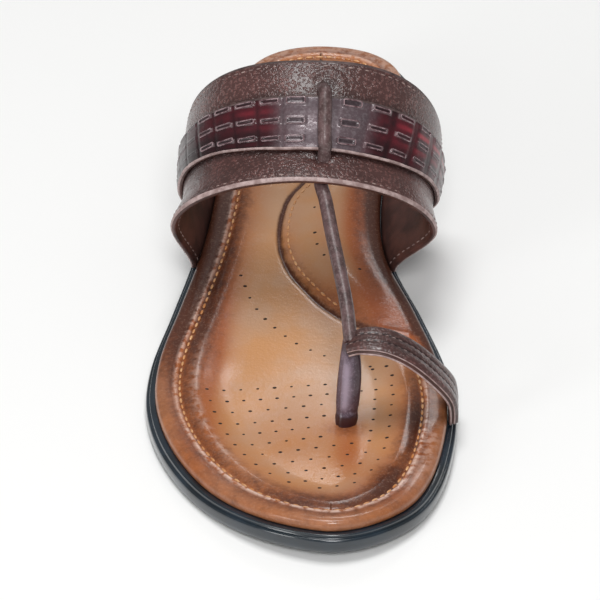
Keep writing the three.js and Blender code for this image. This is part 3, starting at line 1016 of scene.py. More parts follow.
@dataclass(frozen=True)
class FootbedLeather:
    """Vegetable-tanned cowhide, moulded, waxed and burnished: warm tan, with a soft wax shine."""

    tan: str = "C28A58"
    rosy: str = "BE926F"
    amber: str = "A85C28"
    # dark brown for burnishing and for painted shade
    burnish_and_shade: str = "4A2210"
    # red-brown, also used for painted shade under the band
    red: str = "7E341A"
    # pale for rubbed ridges and for painted highlights
    rubbed_and_highlight: str = "DDBFB0"
    speck: str = "C9A48C"

    def make(self) -> Material:
        """Makes the material."""
        s = Shader("waxed_tan_cowhide", Specular_IOR_Level=0.3, Coat_Weight=0.6, Coat_Roughness=0.17)
        cloud = s.ramp(s.noise(20, 3), 0.35, 0.65)
        base = s.mix(cloud, self.tan, self.rosy)
        base = s.mix(s.mask("amber"), base, self.amber)
        base = s.mix(s.mask("red"), base, self.red)
        # the burnishing wax gathers unevenly, so its edge is mottled; the same mottled mix also lays the
        # painted shade under the band
        patches = s.plus(s.times(s.noise(4.5, 3), 0.7), s.times(s.noise(1.3, 3, 0.65), 0.55))
        mottled = s.plus(s.mask("burnish_and_shade"), s.times(s.plus(patches, -0.62), 0.9))
        burnish_and_shade = s.times(s.ramp(mottled, 0.1, 0.95), s.ramp(s.mask("burnish_and_shade"), 0.0, 0.2))
        base = s.mix(burnish_and_shade, base, self.burnish_and_shade)
        # painted highlights, with the rubbed ridges, broken into streaks
        streaks = s.ramp(s.noise(2.4, 3, 0.6), 0.36, 0.6)
        base = s.mix(s.times(s.mask("rubbed_and_highlight"), streaks), base, self.rubbed_and_highlight)
        speck = s.ramp(s.noise(0.8, 2, 0.7), 0.5, 0.75)
        s.colour(s.mix(s.times(speck, 0.16), base, self.speck))
        s.set("Roughness", s.plus(s.times(s.noise(5, 4), 0.2), 0.45))
        s.relief((s.noise(14, 2), 0.1), (s.noise(1.1, 2, 0.6), 0.04), (s.cells(0.5), 0.006))
        return s.material


@dataclass(frozen=True)
class PebbledLeather:
    """Pebble-embossed calf, dyed by hand: brown-black, darker in the valleys, with painted glints on the
    pebble tops.
    """

    dark: str = "35201E"
    brown: str = "6E4743"
    umber: str = "52332F"
    pewter: str = "8A726F"
    shade: str = "180F10"
    wear_and_highlight: str = "8F7C79"

    def make(self) -> Material:
        """Makes the material."""
        s = Shader("pebbled_pewter_calf", Specular_IOR_Level=0.35, Coat_Weight=0.55, Coat_Roughness=0.14)
        grain_and_glint = s.mask("grain_and_glint")
        # two sizes of pebble, bent by a noise so that no two are alike
        bent = s.bent(1.6, 0.0005)
        pebbles = s.plus(s.times(s.cells(1.25, vector=bent), 0.65), s.times(s.cells(0.62, vector=bent), 0.5))
        tops = s.ramp(pebbles, 0.72, 0.2)
        fine = s.noise(0.5, 2, 0.7)
        cloud = s.ramp(s.noise(11, 4, 0.6), 0.34, 0.66)
        base = s.mix(cloud, self.brown, self.umber)
        base = s.mix(s.times(s.ramp(tops, 0.75, 0.05), s.times(grain_and_glint, 0.7)), base, self.dark)
        # painted glints: the pebble tops turn towards the pale grey, more so where the grain mask is high
        glint = s.times(s.times(tops, s.ramp(fine, 0.5, 0.7)), s.plus(s.times(grain_and_glint, 0.4), 0.1))
        base = s.mix(glint, base, self.pewter)
        base = s.mix(s.mask("shade"), base, self.shade)
        # pale for edge wear and for painted highlights
        base = s.mix(s.mask("wear_and_highlight"), base, self.wear_and_highlight)
        s.colour(base)
        s.set("Roughness", s.plus(s.times(fine, 0.24), 0.28))
        s.relief((s.noise(7, 2), 0.12), (s.times(tops, grain_and_glint), 0.14), (s.noise(0.9, 2, 0.6), 0.03))
        return s.material


@dataclass(frozen=True)
class BurgundyLeather:
    """Smooth glazed calf: near-black burgundy, with a painted pewter glare on both sides of the keeper."""

    wine: str = "571923"
    plum: str = "371A20"
    dark: str = "1E0A0E"
    glow: str = "9A303D"
    pewter: str = "5F5257"
    silver: str = "756B6F"
    slot: str = "20151A"
    wear_and_highlight: str = "A5979A"

    def make(self) -> Material:
        """Makes the material."""
        s = Shader("glazed_burgundy_calf", Specular_IOR_Level=0.25, Coat_Weight=0.35, Coat_Roughness=0.1)
        base = s.mix(s.ramp(s.noise(6, 3), 0.35, 0.68), self.wine, self.plum)
        # painted reddish highlight in the middles of the panels
        base = s.mix(s.mask("glow"), base, self.glow)
        base = s.mix(s.mask("shade"), base, self.dark)
        # painted glare: a mottled pewter grey beside the keeper, with a little metallic shine
        painted_glare = s.mask("painted_glare")
        mottle = s.ramp(s.noise(1.1, 3, 0.7), 0.42, 0.7)
        base = s.mix(painted_glare, base, s.mix(mottle, self.pewter, self.silver))
        # painted shade in the slot inside each lace frame
        base = s.mix(s.mask("slot"), base, self.slot)
        base = s.mix(s.mask("wear_and_highlight"), base, self.wear_and_highlight)
        s.colour(base)
        s.set("Metallic", s.times(painted_glare, 0.3))
        s.set("Roughness", s.plus(s.times(s.noise(2.5, 3), 0.24), 0.22))
        s.relief((s.noise(4, 3), 0.12), (s.noise(0.9, 2, 0.6), 0.02))
        return s.material


@dataclass(frozen=True)
class RolledCalf:
    """Calf rolled tight and waxed: mauve-grey, with painted shade at the turned sides and, on the post, a
    painted highlight.
    """

    name: str
    middle: str
    second: str
    side: str
    speck: str
    coat: float

    def make(self) -> Material:
        """Makes the material."""
        s = Shader(self.name, Specular_IOR_Level=0.4, Coat_Weight=self.coat, Coat_Roughness=0.16)
        base = s.mix(s.ramp(s.noise(4, 4, 0.6), 0.34, 0.66), self.middle, self.second)
        base = s.mix(s.times(s.ramp(s.noise(0.9, 3, 0.7), 0.46, 0.7), 0.35), base, self.speck)
        # painted highlight along the lit side, in the speck colour
        base = s.mix(s.mask("light"), base, self.speck)
        s.colour(s.mix(s.mask("shade"), base, self.side))
        s.set("Roughness", s.plus(s.times(s.noise(1.5, 3), 0.3), 0.28))
        s.relief((s.noise(3, 2), 0.1), (s.noise(1.0, 2, 0.6), 0.05))
        return s.material


@dataclass(frozen=True)
class PlainFinish:
    """A finish of one colour family: a leather edge, a lining, rubber or thread."""

    name: str
    colour: str
    second: str
    roughness: float
    cloud: float
    relief: float
    grit: float = 0.6
    coat: float = 0.0

    def make(self) -> Material:
        """Makes the material."""
        s = Shader(self.name, Roughness=self.roughness, Coat_Weight=self.coat, Coat_Roughness=0.14)
        s.colour(s.mix(s.ramp(s.noise(self.cloud, 4), 0.32, 0.68), self.colour, self.second))
        s.relief((s.noise(self.grit, 3, 0.6), self.relief))
        return s.material


class Finish(Enum):
    """The sandal's finishes."""

    # cowhide waxed to a soft shine
    FOOTBED = FootbedLeather()
    # calf with a rubbed foil; its glints in specks are painted on the pebble tops
    PEBBLED = PebbledLeather()
    BURGUNDY = BurgundyLeather()
    # calf rolled and waxed: a long soft highlight between sides with painted shade
    THONG = RolledCalf("waxed_mauve_calf", "624B4B", "443130", "1C1013", "978584", 0.15)
    # glazed kid, folded round a core: smooth and cool, with a long painted highlight
    POST = RolledCalf("glazed_mauve_kid", "66525F", "4A3A47", "300D14", "A596A6", 0.6)
    # raw cut edge of calf, painted and rubbed: pale and dry
    CUT_EDGE = PlainFinish("painted_cut_edge", "8C7471", "B8A29F", 0.5, 2.5, 0.05)
    # edge of the instep band's rear, dyed dark
    DYED_EDGE = PlainFinish("dyed_cut_edge", "3B2C2B", "5E4B49", 0.5, 3, 0.05)
    # pigskin lining: dark, matt, with a fine grain
    LINING = PlainFinish("pigskin_lining", "351E1A", "58352E", 0.5, 10, 0.06, 0.9, 0.12)
    # moulded rubber, waxed and polished on the wheel: blue-black with a wet shine
    SOLE_EDGE = PlainFinish("polished_black_rubber", "111B22", "1F2C37", 0.26, 14, 0.02, 2.2, 0.8)
    # moulded rubber as it leaves the mould: grey-black and even
    HEEL = PlainFinish("moulded_black_rubber", "0F1214", "1A1E20", 0.5, 12, 0.05, 0.8)
    # narrow glazed lace, pulled flat: dark, with a thin bright rim
    LACE = PlainFinish("glazed_lace", "4A2C32", "957C80", 0.24, 1.6, 0.02, 0.6, 0.5)
    # waxed polyester thread: a tight bright dash
    TAN_THREAD = PlainFinish("waxed_tan_thread", "C07A40", "D9A878", 0.4, 4, 0.04, 0.3, 0.2)
    DARK_THREAD = PlainFinish("waxed_brown_thread", "6A5350", "A08983", 0.45, 4, 0.04, 0.3)
    # shade in a pinhole, as the eye sees an open hole
    PINHOLE = PlainFinish("pinhole_shade", "1E100A", "2A170E", 0.8, 2, 0.02)

    @cache
    def material(self) -> Material:
        """The finish's material, made once."""
        return self.value.make()


def leathers(face: Finish) -> list[Material]:
    """Materials of a cut leather wall, in the order of the parts of its section."""
    return [f.material() for f in (face, Finish.CUT_EDGE, Finish.LINING, Finish.DYED_EDGE)]


# ---------------------------------------------------------------- node-made repeats


class NodeTool:
    """A Geometry Nodes tree with named sizes and a material, applied to one object at a time."""

    def __init__(self, name: str, *sizes: str) -> None:
        """Starts the tree.

        Args:
            name: The tree's name.
            sizes: The names of its sizes.
        """
        self.tree = bpy.data.node_groups.new(name, "GeometryNodeTree")
        self.socket("Geometry", "Geometry")
        for size in sizes:
            self.socket(size, "Float")
        self.socket("Material", "Material")
        self.socket("Geometry", "Geometry", "OUTPUT")
        self.given = add(self.tree, "NodeGroupInput").outputs

    def socket(self, name: str, kind: str, way: str = "INPUT") -> None:
        """Adds a named input or output to the tree."""
        self.tree.interface.new_socket(name=name, in_out=way, socket_type="NodeSocket" + kind)

    def add(self, kind: str, inputs: dict | None = None, **settings) -> Output:
        """Adds a node to this tree, as the function of the same name does, and gives its output."""
        return add(self.tree, kind, inputs, **settings).outputs[0]

    def maths(self, operation: str, a: Output | float, b: Output | float = 0.0) -> Output:
        """Adds a step of arithmetic to this tree, as the function of the same name does."""
        return maths(self.tree, operation, a, b)

    def named(self, name: str, kind: str = "FLOAT_VECTOR") -> Output:
        """A named vector or number of the points."""
        return self.add("GeometryNodeInputNamedAttribute", {"Name": name}, data_type=kind)

    def lay(self, item: Output, scale: Output) -> None:
        """Ends the tree with one item on each point, turned to the point's own directions.

        Args:
            item: What is laid.
            scale: Its scale.
        """
        turn = self.add(
            "FunctionNodeAxesToRotation",
            {0: self.named("up"), 1: self.named("along")},
            primary_axis="Z",
            secondary_axis="X",
        )
        inputs = {"Points": self.given["Geometry"], "Instance": item, "Rotation": turn, "Scale": scale}
        self.finish(self.add("GeometryNodeInstanceOnPoints", inputs))

    def finish(self, geometry: Output) -> None:
        """Ends the tree.

        Args:
            geometry: What the tree makes.
        """
        real = self.add("GeometryNodeRealizeInstances", {"Geometry": geometry})
        even = self.add("GeometryNodeSetShadeSmooth", {"Geometry": real})
        dressed = self.add("GeometryNodeSetMaterial", {"Geometry": even, "Material": self.given["Material"]})
        add(self.tree, "NodeGroupOutput", {"Geometry": dressed})

    def apply(self, item: bpy.types.Object, values: dict[str, object]) -> bpy.types.Object:
        """Runs the tree on an object and keeps a plain mesh.

        Args:
            item: The object; it is used up.
            values: A value for each named input.

        Returns:
            A new object with the same name.
        """
        modifier = item.modifiers.new(self.tree.name, "NODES")
        modifier.node_group = self.tree
        for socket in self.tree.interface.items_tree:
            if socket.in_out == "INPUT" and socket.name in values:
                modifier[socket.identifier] = values[socket.name]
        item.update_tag()
        bpy.context.view_layer.update()
        depsgraph = bpy.context.evaluated_depsgraph_get()
        mesh = bpy.data.meshes.new_from_object(item.evaluated_get(depsgraph))
        name = item.name
        bpy.data.objects.remove(item)
        mesh.name = name
        return linked(name, mesh)


class StitchTool(NodeTool):
    """Small rounded lengths of thread, or pinholes, laid on points along their own directions."""

    def __init__(self) -> None:
        """Builds the tree."""
        super().__init__("laid_stitches", "Length", "Width", "Height", "Unevenness")
        given = self.given
        grain_and_glint = self.add("GeometryNodeMeshIcoSphere", {"Radius": 0.5, "Subdivisions": 2})
        inputs = {"X": given["Length"], "Y": given["Width"], "Z": given["Height"]}
        size = self.add("ShaderNodeCombineXYZ", inputs)
        low = self.maths("SUBTRACT", 1.0, given["Unevenness"])
        vary = add(self.tree, "FunctionNodeRandomValue", {2: low, 3: 1.0, "Seed": 7})
        share = self.maths("MULTIPLY", vary.outputs[1], self.named("size", "FLOAT"))
        self.lay(grain_and_glint, self.add("ShaderNodeVectorMath", {0: size, "Scale": share}, operation="SCALE"))


class LaceTool(NodeTool):
    """Rounded frames of lace, one on each point."""

    def __init__(self) -> None:
        """Builds the tree."""
        super().__init__("lacing_bars", "Length", "Width", "Corner", "Thickness")
        given = self.given
        inputs = {"Width": given["Length"], "Height": given["Width"]}
        shape = self.add("GeometryNodeCurvePrimitiveQuadrilateral", inputs)
        round_ = add(self.tree, "GeometryNodeFilletCurve", {"Curve": shape}, mode="POLY")
        for socket in round_.inputs:
            if socket.name == "Count":
                socket.default_value = 4
            if socket.name == "Radius":
                self.tree.links.new(given["Corner"], socket)
        ring = self.add("GeometryNodeCurvePrimitiveCircle", {"Resolution": 8, "Radius": given["Thickness"]})
        inputs = {"Curve": round_.outputs[0], "Profile Curve": ring}
        self.lay(self.add("GeometryNodeCurveToMesh", inputs), self.named("size", "FLOAT"))


class RollTool(NodeTool):
    """A rolled leather along a curve, with its long seam pressed into the upper side."""

    def __init__(self) -> None:
        """Builds the tree."""
        super().__init__("rolled_thong", "Width", "Height", "Seam depth", "Seam width", "Seam place")
        given = self.given
        fine = self.add("GeometryNodeResampleCurve", {"Curve": given["Geometry"], "Count": 260})
        level = self.add("GeometryNodeSetCurveNormal", {"Curve": fine}, mode="Z_UP")
        ring = self.add("GeometryNodeCurvePrimitiveCircle", {"Resolution": 40, "Radius": 0.5})
        spot = self.add("GeometryNodeInputPosition")
        across, up = add(self.tree, "ShaderNodeSeparateXYZ", {0: spot}).outputs[:2]
        wide = self.maths("MULTIPLY", across, given["Width"])
        high = self.maths("MULTIPLY", up, given["Height"])
        # the seam is a soft trough on the upper half of the section
        off = self.maths("DIVIDE", self.maths("SUBTRACT", wide, given["Seam place"]), given["Seam width"])
        fall = self.maths("EXPONENT", self.maths("MULTIPLY", self.maths("MULTIPLY", off, off), -1.0))
        seam = self.maths("MULTIPLY", fall, self.maths("GREATER_THAN", up, 0.0))
        pressed = self.maths("SUBTRACT", high, self.maths("MULTIPLY", seam, given["Seam depth"]))
        shaped = self.add("ShaderNodeCombineXYZ", {"X": wide, "Y": pressed})
        section = self.add("GeometryNodeSetPosition", {"Geometry": ring, "Position": shaped})
        # painted shade in the seam and on the two turned sides
        turned = self.add(
            "ShaderNodeMapRange",
            {"Value": self.maths("ABSOLUTE", across), "From Min": 0.26, "From Max": 0.46},
            interpolation_type="SMOOTHSTEP",
        )
        dark = self.add(
            "GeometryNodeStoreNamedAttribute",
            {"Geometry": section, "Name": "shade", "Value": self.maths("MAXIMUM", seam, turned)},
            data_type="FLOAT",
            domain="POINT",
        )
        inputs = {"Curve": level, "Profile Curve": dark, "Fill Caps": True}
        self.finish(self.add("GeometryNodeCurveToMesh", inputs))


@dataclass
class NodeBench:
    """The node tools and what they make."""

    bench: Bench
    stitch: StitchTool = field(default_factory=StitchTool)
    lace: LaceTool = field(default_factory=LaceTool)
    roll: RollTool = field(default_factory=RollTool)

    def points(self, name: str, at: Points, up: Points, along: Points, size: Points) -> bpy.types.Object:
        """Points with directions, ready for a node tool.

        Args:
            name: The object's name.
            at: The points in millimetres.
            up: Outward normals.
            along: Directions.
            size: Relative sizes.

        Returns:
            An object of loose points.
        """
        mesh = bpy.data.meshes.new(name)
        mesh.from_pydata(self.bench.placed(at).tolist(), [], [])
        for key, values in (("up", up), ("along", along), ("size", size)):
            mark(mesh, key, values)
        return linked(name, mesh)

    def stitches(
        self,
        name: str,
        rows: Sequence[Row],
        size: Triple,
        finish: Finish,
        slot: str,
        unevenness: float = 0.18,
    ) -> None:
        """Lays stitches or pinholes.

        Args:
            name: The piece's name.
            rows: Its rows.
            size: Length, width and height of one, in millimetres.
            finish: Its finish.
            slot: The record's material slot.
            unevenness: How much smaller the smallest one is, as a share.
        """
        at, up, along = (np.vstack([row[k] for row in rows]) for k in range(3))
        item = self.points(name, at, up, along, np.ones(len(at)))
        length, width, height = (value / 1000 for value in size)
        made = self.stitch.apply(item, {
            "Length": length, "Width": width, "Height": height,
            "Unevenness": unevenness, "Material": finish.material(),
        })
        self.bench.ready(made, slot)


# ---------------------------------------------------------------- the sole


@dataclass
class Sole:
    """Outsole with its stepped side, the heel block and the footbed."""

    form: SoleForm
    bench: Bench
    nodes: NodeBench
    # rows from heel to toe, and columns across the footbed and across the tread
    rows: int = 380
    columns: int = 84
    tread_columns: int = 30
    # rows of the finer outlines that the heel block and the groove's stitches are read from
    heel_rows: int = 600
    groove_rows: int = 900
    heel_corners: int = 200
    breast_corners: int = 24
    tread_pitch: float = 6
    # length, width and height of one stitch and of one pinhole's shade
    stitch: Triple = (2.6, 0.95, 0.65)
    pinhole: Triple = (1.5, 1.15, 0.16)
    groove_inset: float = 11.2
    groove_floor: float = 10.2
    groove_pitch: float = 3.4
    # how far the arch pad's stitches lie inside its seam
    seam_inset: float = 2.1
    seam_pitch: float = 3.1

    def outsole(self) -> None:
        """Makes the rubber outsole: polished side wall, step and rim, ribbed tread."""
        under = self.form.underside

        def tread(station: Points, x: Points) -> Points:
            """Height of the tread: cross ribs inside a plain border."""
            inside = smooth(6, 8, self.form.from_edge(station, x))
            rib = 0.5 + 0.5 * np.cos(2 * np.pi * station / self.tread_pitch)
            return under(station) + 0.6 * inside * smooth(0.35, 0.65, rib)

        def at(rise: float) -> Surface:
            """A height above the underside."""
            return lambda station, x: under(station) + rise

        # the side from the tread up: inset from the outline and height above the underside
        table = (
            (1.7, 0), (1.15, 0.12), (0.6, 0.5), (0.25, 1.1), (0.05, 1.8), (0, 2.4), (0, 4.1),
            (0.04, 4.5), (0.18, 4.9), (0.4, 5.2), (0.7, 5.3), (1.15, 5.25), (1.3, 5.3),
            (1.3, 6.2), (1.4, 6.5), (1.65, 6.62), (3.4, 6.6),
        )
        layers = [(6, tread), *((inset, at(rise)) for inset, rise in table)]
        points, faces = sole_body(self.form, self.rows, self.tread_columns, layers)
        self.bench.piece("outsole_rubber", "outsole", points, faces, [Finish.SOLE_EDGE.material()])

    def heel_ring(self, inset: float) -> Points:
        """Plan of the heel block at one level.

        Args:
            inset: Inset from the outline.

        Returns:
            Stations and x round the ring, from one breast corner by the heel's back to the other one.
        """

        def breast(x: Points) -> Points:
            """Stations of the hollow breast, which leans back with the inset."""
            hollow = BREAST_STATION - BREAST_HOLLOW * (1 - (x / (BALL_WIDTH / 2)) ** 2)
            return hollow - inset * BREAST_LEAN

        p = self.inset_line(inset, self.heel_rows)
        p = np.vstack([p[len(p) // 2 + 1 :], p[: len(p) // 2 + 1]])
        arc = p[p[:, 0] < breast(p[:, 1])]
        # a hair less than the exact pitch, so that the last corner isn't lost to rounding
        arc = spaced(arc, along_line(arc)[-1] / self.heel_corners * 0.99999)[: self.heel_corners]
        share = np.linspace(0, 1, self.breast_corners + 2)[1:-1]
        x = arc[-1, 1] + (arc[0, 1] - arc[-1, 1]) * share
        return np.vstack([arc, np.c_[breast(x), x]])

    def heel(self) -> None:
        """Makes the heel block: two lifts with a fine line between them, hollow breast."""
        # from the floor up: inset from the outline and height above the floor
        table = (
            (HEEL_INSET + HEEL_TAPER + 0.9, 0), (HEEL_INSET + HEEL_TAPER + 0.35, 0.3),
            (HEEL_INSET + HEEL_TAPER, 0.95), (HEEL_INSET + 1.55, 4.6), (HEEL_INSET + 1.8, 4.85),
            (HEEL_INSET + 1.45, 5.1), (HEEL_INSET + 0.5, 10.5),
        )
        rings = []
        for inset, height in table:
            ring = self.heel_ring(inset)
            rings.append(place(ring[:, 0], ring[:, 1], height))
        top = self.heel_ring(HEEL_INSET)
        rings.append(place(top[:, 0], top[:, 1], self.form.underside(top[:, 0]) - 0.05))
        points, faces = swept(np.array(rings))
        self.bench.piece("heel_block_rubber", "heel_block", points, faces, [Finish.HEEL.material()])

    def masks(self, points: Points) -> dict[str, Points]:
        """Where the footbed's leather is burnished, amber, reddened or pale from rubbing, with painted shade
        under the band and painted highlights on its ridges, margin and heel rim.

        Args:
            points: The footbed's corners.

        Returns:
            A value of each mask for each corner.
        """
        station, x = LENGTH / 2 - points[:, 1], points[:, 0]
        inside = self.form.from_edge(station, x)
        seam = self.form.from_seam(station, x)
        cover = self.form.covered(station, x)
        open_ = 1 - cover
        toe = smooth(196, 250, station)
        heel = smooth(60, 20, station)
        # the burnishing starts in the groove and fades out towards the middle
        valley = smooth(10.8, 12.4, inside) * smooth(20 + 4 * toe, 12.4, inside)
        line = bump(inside - 10.9, 0.55)
        seam_line = bump(seam + 0.9, 0.95) * smooth(12, 15, inside)
        crescent = smooth(-0.5, 0.5, seam) * smooth(9, 0.5, seam) * smooth(92, 128, station)
        # darker towards the medial edge of the covered waist
        waist_edge = cover * smooth(10, 4.5, inside)
        burnish_and_shade = (0.54 - 0.1 * heel) * valley * open_ + 0.4 * line * open_ + 1.1 * seam_line
        # painted shade on the footbed under the band's medial base, in the burnish and red tints
        shade_under_band = cover * smooth(17, 9, inside) * smooth(150, 132, station)
        burnish_and_shade = burnish_and_shade + 0.3 * crescent + 1.05 * waist_edge + 0.55 * shade_under_band
        amber = 0.75 * smooth(26, 12, inside) * open_ + 0.35 * crescent + cover * smooth(19, 11, inside)
        amber = amber - 0.25 * smooth(10, 8, inside) * open_
        amber = amber + 0.4 * smooth(4, 26, seam) * smooth(80, 120, station)
        red = 0.2 * crescent + 0.5 * shade_under_band + 0.3 * waist_edge
        for spot in STAINS_AND_REFLECTIONS:
            soft = spot.soft(station, x)
            burnish_and_shade = burnish_and_shade + spot.burnish_and_shade * soft
            amber = amber + spot.amber * soft
            red = red + spot.red * soft
        # the groove's ridge tops are rubbed pale and get a painted highlight; painted highlights also go on
        # the lateral inner ridge, on the medial margin by the toe loop and on the heel rim
        ridge = bump(inside - 9.8, 0.75) * open_ * (0.6 + 0.4 * toe)
        inner = 0.35 * bump(inside - 16.2, 1.4) * smooth(150, 200, station) * smooth(-10, -30, x)
        pink = 0.55 * smooth(30, 44, x) * bump(inside - 7.4, 2.4) * smooth(205, 225, station)
        keep = np.maximum(smooth(8.8, 10.6, inside), 0.9 * cover)
        waist = smooth(60, 110, station) * smooth(205, 150, station) * smooth(0, -12, x)
        margin = smooth(10.2, 8.8, inside) * open_ * (0.33 + 0.6 * waist + 0.2 * bump(inside - 8.6, 1.5))
        return {
            "burnish_and_shade": np.clip(burnish_and_shade * keep + margin, 0, 1),
            "amber": np.clip(amber, 0, 1),
            "red": np.clip(red * keep + 0.9 * margin, 0, 1),
            "rubbed_and_highlight": np.clip(ridge + inner + pink + 0.35 * heel * smooth(9.5, 7.5, inside), 0, 1),
        }

    def footbed(self) -> None:
        """Makes the footbed: rounded margin, stitched groove and moulded middle."""
        under = self.form.underside

        def at(rise: float, inset: float) -> Surface:
            """A height above the underside, on the pad's leather where that covers the groove."""

            def height(station: Points, x: Points) -> Points:
                """Height of the layer at each place."""
                share = self.form.covered(station, x)
                if inset < 9:
                    return under(station) + rise + PAD_LEATHER * share * smooth(3.4, 9, inset)
                return (under(station) + rise) * (1 - share) + self.form.footbed(station, x) * share

            return height

        # over the margin and through the groove: inset from the outline and height above the underside
        table = (
            (3.75, FOOTBED_UNDER - 0.25), (3.35, FOOTBED_UNDER), (3.2, FOOTBED_UNDER + 0.5), (3.15, 8.2),
            (3.22, 8.9), (3.42, 9.5), (3.8, 10.05), (4.4, 10.45), (5.2, 10.7), (6.2, 10.82),
            (7.4, 10.86), (8.4, 10.84), (9.1, 10.88), (9.7, 10.98), (10.2, 10.92), (10.6, 10.55),
            (11.0, 10.12), (11.4, 9.98), (11.8, 10.06), (12.2, 10.28), (12.6, 10.5), (13.1, 10.68),
            (13.8, 10.85),
        )
        layers = [(inset, at(rise, inset)) for inset, rise in table]
        layers.append((14.6, self.form.footbed))
        points, faces = sole_body(self.form, self.rows, self.columns, layers)
        leather = [Finish.FOOTBED.material()]
        self.bench.piece("footbed_leather", "footbed", points, faces, leather, masks=self.masks(points))

    @staticmethod
    def on_top(line: Points, height: Surface) -> Row:
        """A row of places laid on the footbed.

        Args:
            line: Stations and x of the places.
            height: The surface's height function.

        Returns:
            Points, normals and directions.
        """
        station, x = line[:, 0], line[:, 1]
        points = place(station, x, height(station, x))
        # the slope is read this far to each side, in millimetres
        d = 0.6
        rise_s = (height(station + d, x) - height(station - d, x)) / (2 * d)
        rise_x = (height(station, x + d) - height(station, x - d)) / (2 * d)
        normals = unit(np.c_[-rise_x, rise_s, np.ones(len(line))])
        return points, normals, unit(np.gradient(points, axis=0))

    def inset_line(self, inset: float, rows: int) -> Points:
        """A line round the sole.

        Args:
            inset: Its inset from the outline.
            rows: Number of its rows from heel to toe.

        Returns:
            Stations and x along it.
        """
        ring, inwards = self.form.corners(rows)
        return ring + inwards * inset

    def stitches(self) -> None:
        """Sews the margin's groove and the arch pad's seam."""
        under = self.form.underside
        groove = spaced(self.inset_line(self.groove_inset, self.groove_rows), self.groove_pitch)
        groove = groove[self.form.covered(groove[:, 0], groove[:, 1]) < 0.5]
        flat = self.on_top(groove, lambda station, x: under(station) + self.groove_floor)
        line = self.form.seam_line
        side = unit(np.gradient(line, axis=0))
        sewn = line + np.c_[-side[:, 1], side[:, 0]] * self.seam_inset
        # the pad's seam is sewn where it is clear of the groove and of the medial margin
        inside = (self.form.from_edge(sewn[:, 0], sewn[:, 1]) > 15.5) & (sewn[:, 1] < 15)
        sewn = spaced(sewn[inside], self.seam_pitch)
        seam = self.on_top(sewn, lambda station, x: self.form.footbed(station, x) + 0.05)
        self.nodes.stitches("footbed_stitches", [flat, seam], self.stitch, Finish.TAN_THREAD, "footbed")

    def pinholes(self) -> None:
        """Pricks the footbed's ventilation holes."""
        rows = [np.c_[np.linspace(a, c, n), np.linspace(b, d, n)] for a, b, c, d, n in PINHOLE_ROWS]
        spots = np.vstack([*rows, np.array(PINHOLES)])
        points, normals, _ = self.on_top(spots, lambda station, x: self.form.footbed(station, x) - 0.02)
        slope = np.tile([[1.0, 0.15, 0]], (len(spots), 1))
        row = (points, normals, slope)
        self.nodes.stitches("footbed_pinholes", [row], self.pinhole, Finish.PINHOLE, "footbed", 0.3)

    def make(self) -> None:
        """Makes the whole sole."""
        self.outsole()
        self.heel()
        self.footbed()
        self.stitches()
        self.pinholes()


@dataclass(frozen=True)
class StainAndReflection(Patch):
    """A patch on the footbed with its share of each tint: most are burnishing, and one is a painted
    reflection of the toe post.
    """

    burnish_and_shade: float
    amber: float
    red: float


STAINS_AND_REFLECTIONS = (
    StainAndReflection(224, 0, 24, 24, 0.04, 0.35, 0),
    StainAndReflection(150, -33, 34, 8, 0.3, 0.7, 0.35),
    StainAndReflection(176, -34, 18, 6, 0.25, 0.7, 0.15),
    StainAndReflection(154, 25, 11, 11, 0.12, 0.7, 0.4),
    StainAndReflection(118, 34, 30, 4, 0.15, 0.6, 0.3),
    StainAndReflection(141, 35, 17, 7, 0.75, 0.3, 0.5),
    StainAndReflection(146, 15, 9, 12, 0.12, 0.5, 0.3),
    StainAndReflection(168, 32, 9, 8, 0.08, 0.6, 0.3),
    StainAndReflection(215, 12.5, 5, 6, 0.5, 0.4, 0.2),
    # painted reflection of the toe post in the waxed footbed, an amber streak in front of the post
    StainAndReflection(228, 14, 13, 5, 0, 0.7, 0),
    StainAndReflection(247, 27, 12, 8, 0.35, 0.3, 0.45),
    StainAndReflection(256, 6, 7, 18, 0.25, 0.3, 0.3),
    StainAndReflection(205, -34, 36, 7, 0.1, 0.6, 0),
    StainAndReflection(213, 36, 18, 5, 0.45, 0.4, 0.3),
    StainAndReflection(90, -36, 40, 8, 0.4, 0.6, 0.35),
)

# rows of ventilation holes: station and x of the first and the last, and how many
PINHOLE_ROWS = (
    (195.7, -32.7, 191.3, 5.6, 8), (201.9, -31.3, 196.6, 6.3, 8), (208, -29.7, 202.3, 4.6, 7),
    (214.3, -27.6, 208.5, 5.6, 7), (220, -25.1, 215, 0.7, 6), (225.7, -22.4, 219.9, 4.7, 6),
    (230.9, -19.2, 223.3, 14.7, 7), (236.1, -15.4, 228, 19.2, 7), (240.8, -10.8, 232.6, 23.2, 7),
    (245.1, -4.7, 238.3, 21.1, 6), (247.6, 5, 244.8, 15.9, 3),
)
# station and x of the single ones
PINHOLES = (
    (152.8, -18), (157.8, -15), (162.2, -11.7), (166.4, -8.1), (170.1, -4.3), (173.3, 0.4),
    (176.1, 5), (179.7, 10.9), (183, 20.9), (91.2, 9.9), (104.1, 0.1), (117, 0.5), (122.9, 1.4),
    (128.7, 3.9), (134.7, 16), (136.4, -23.9), (141.6, -22.3), (147.2, -20.5), (181.5, 20.1),
    (182.1, 25.4), (188.3, 21.9), (187.1, 27.3), (194.7, 17.4), (194, 22.1), (192.5, 27.2),
    (199.3, 21.8), (197.6, 27.7), (204.5, 21.7), (203.1, 27.2), (210.2, 21.4), (208.7, 26.9),
    (216.2, 20.7), (214.6, 26.6), (221.7, 20.3), (220.7, 25.9), (226.4, 25.1),
)


# ---------------------------------------------------------------- the upper


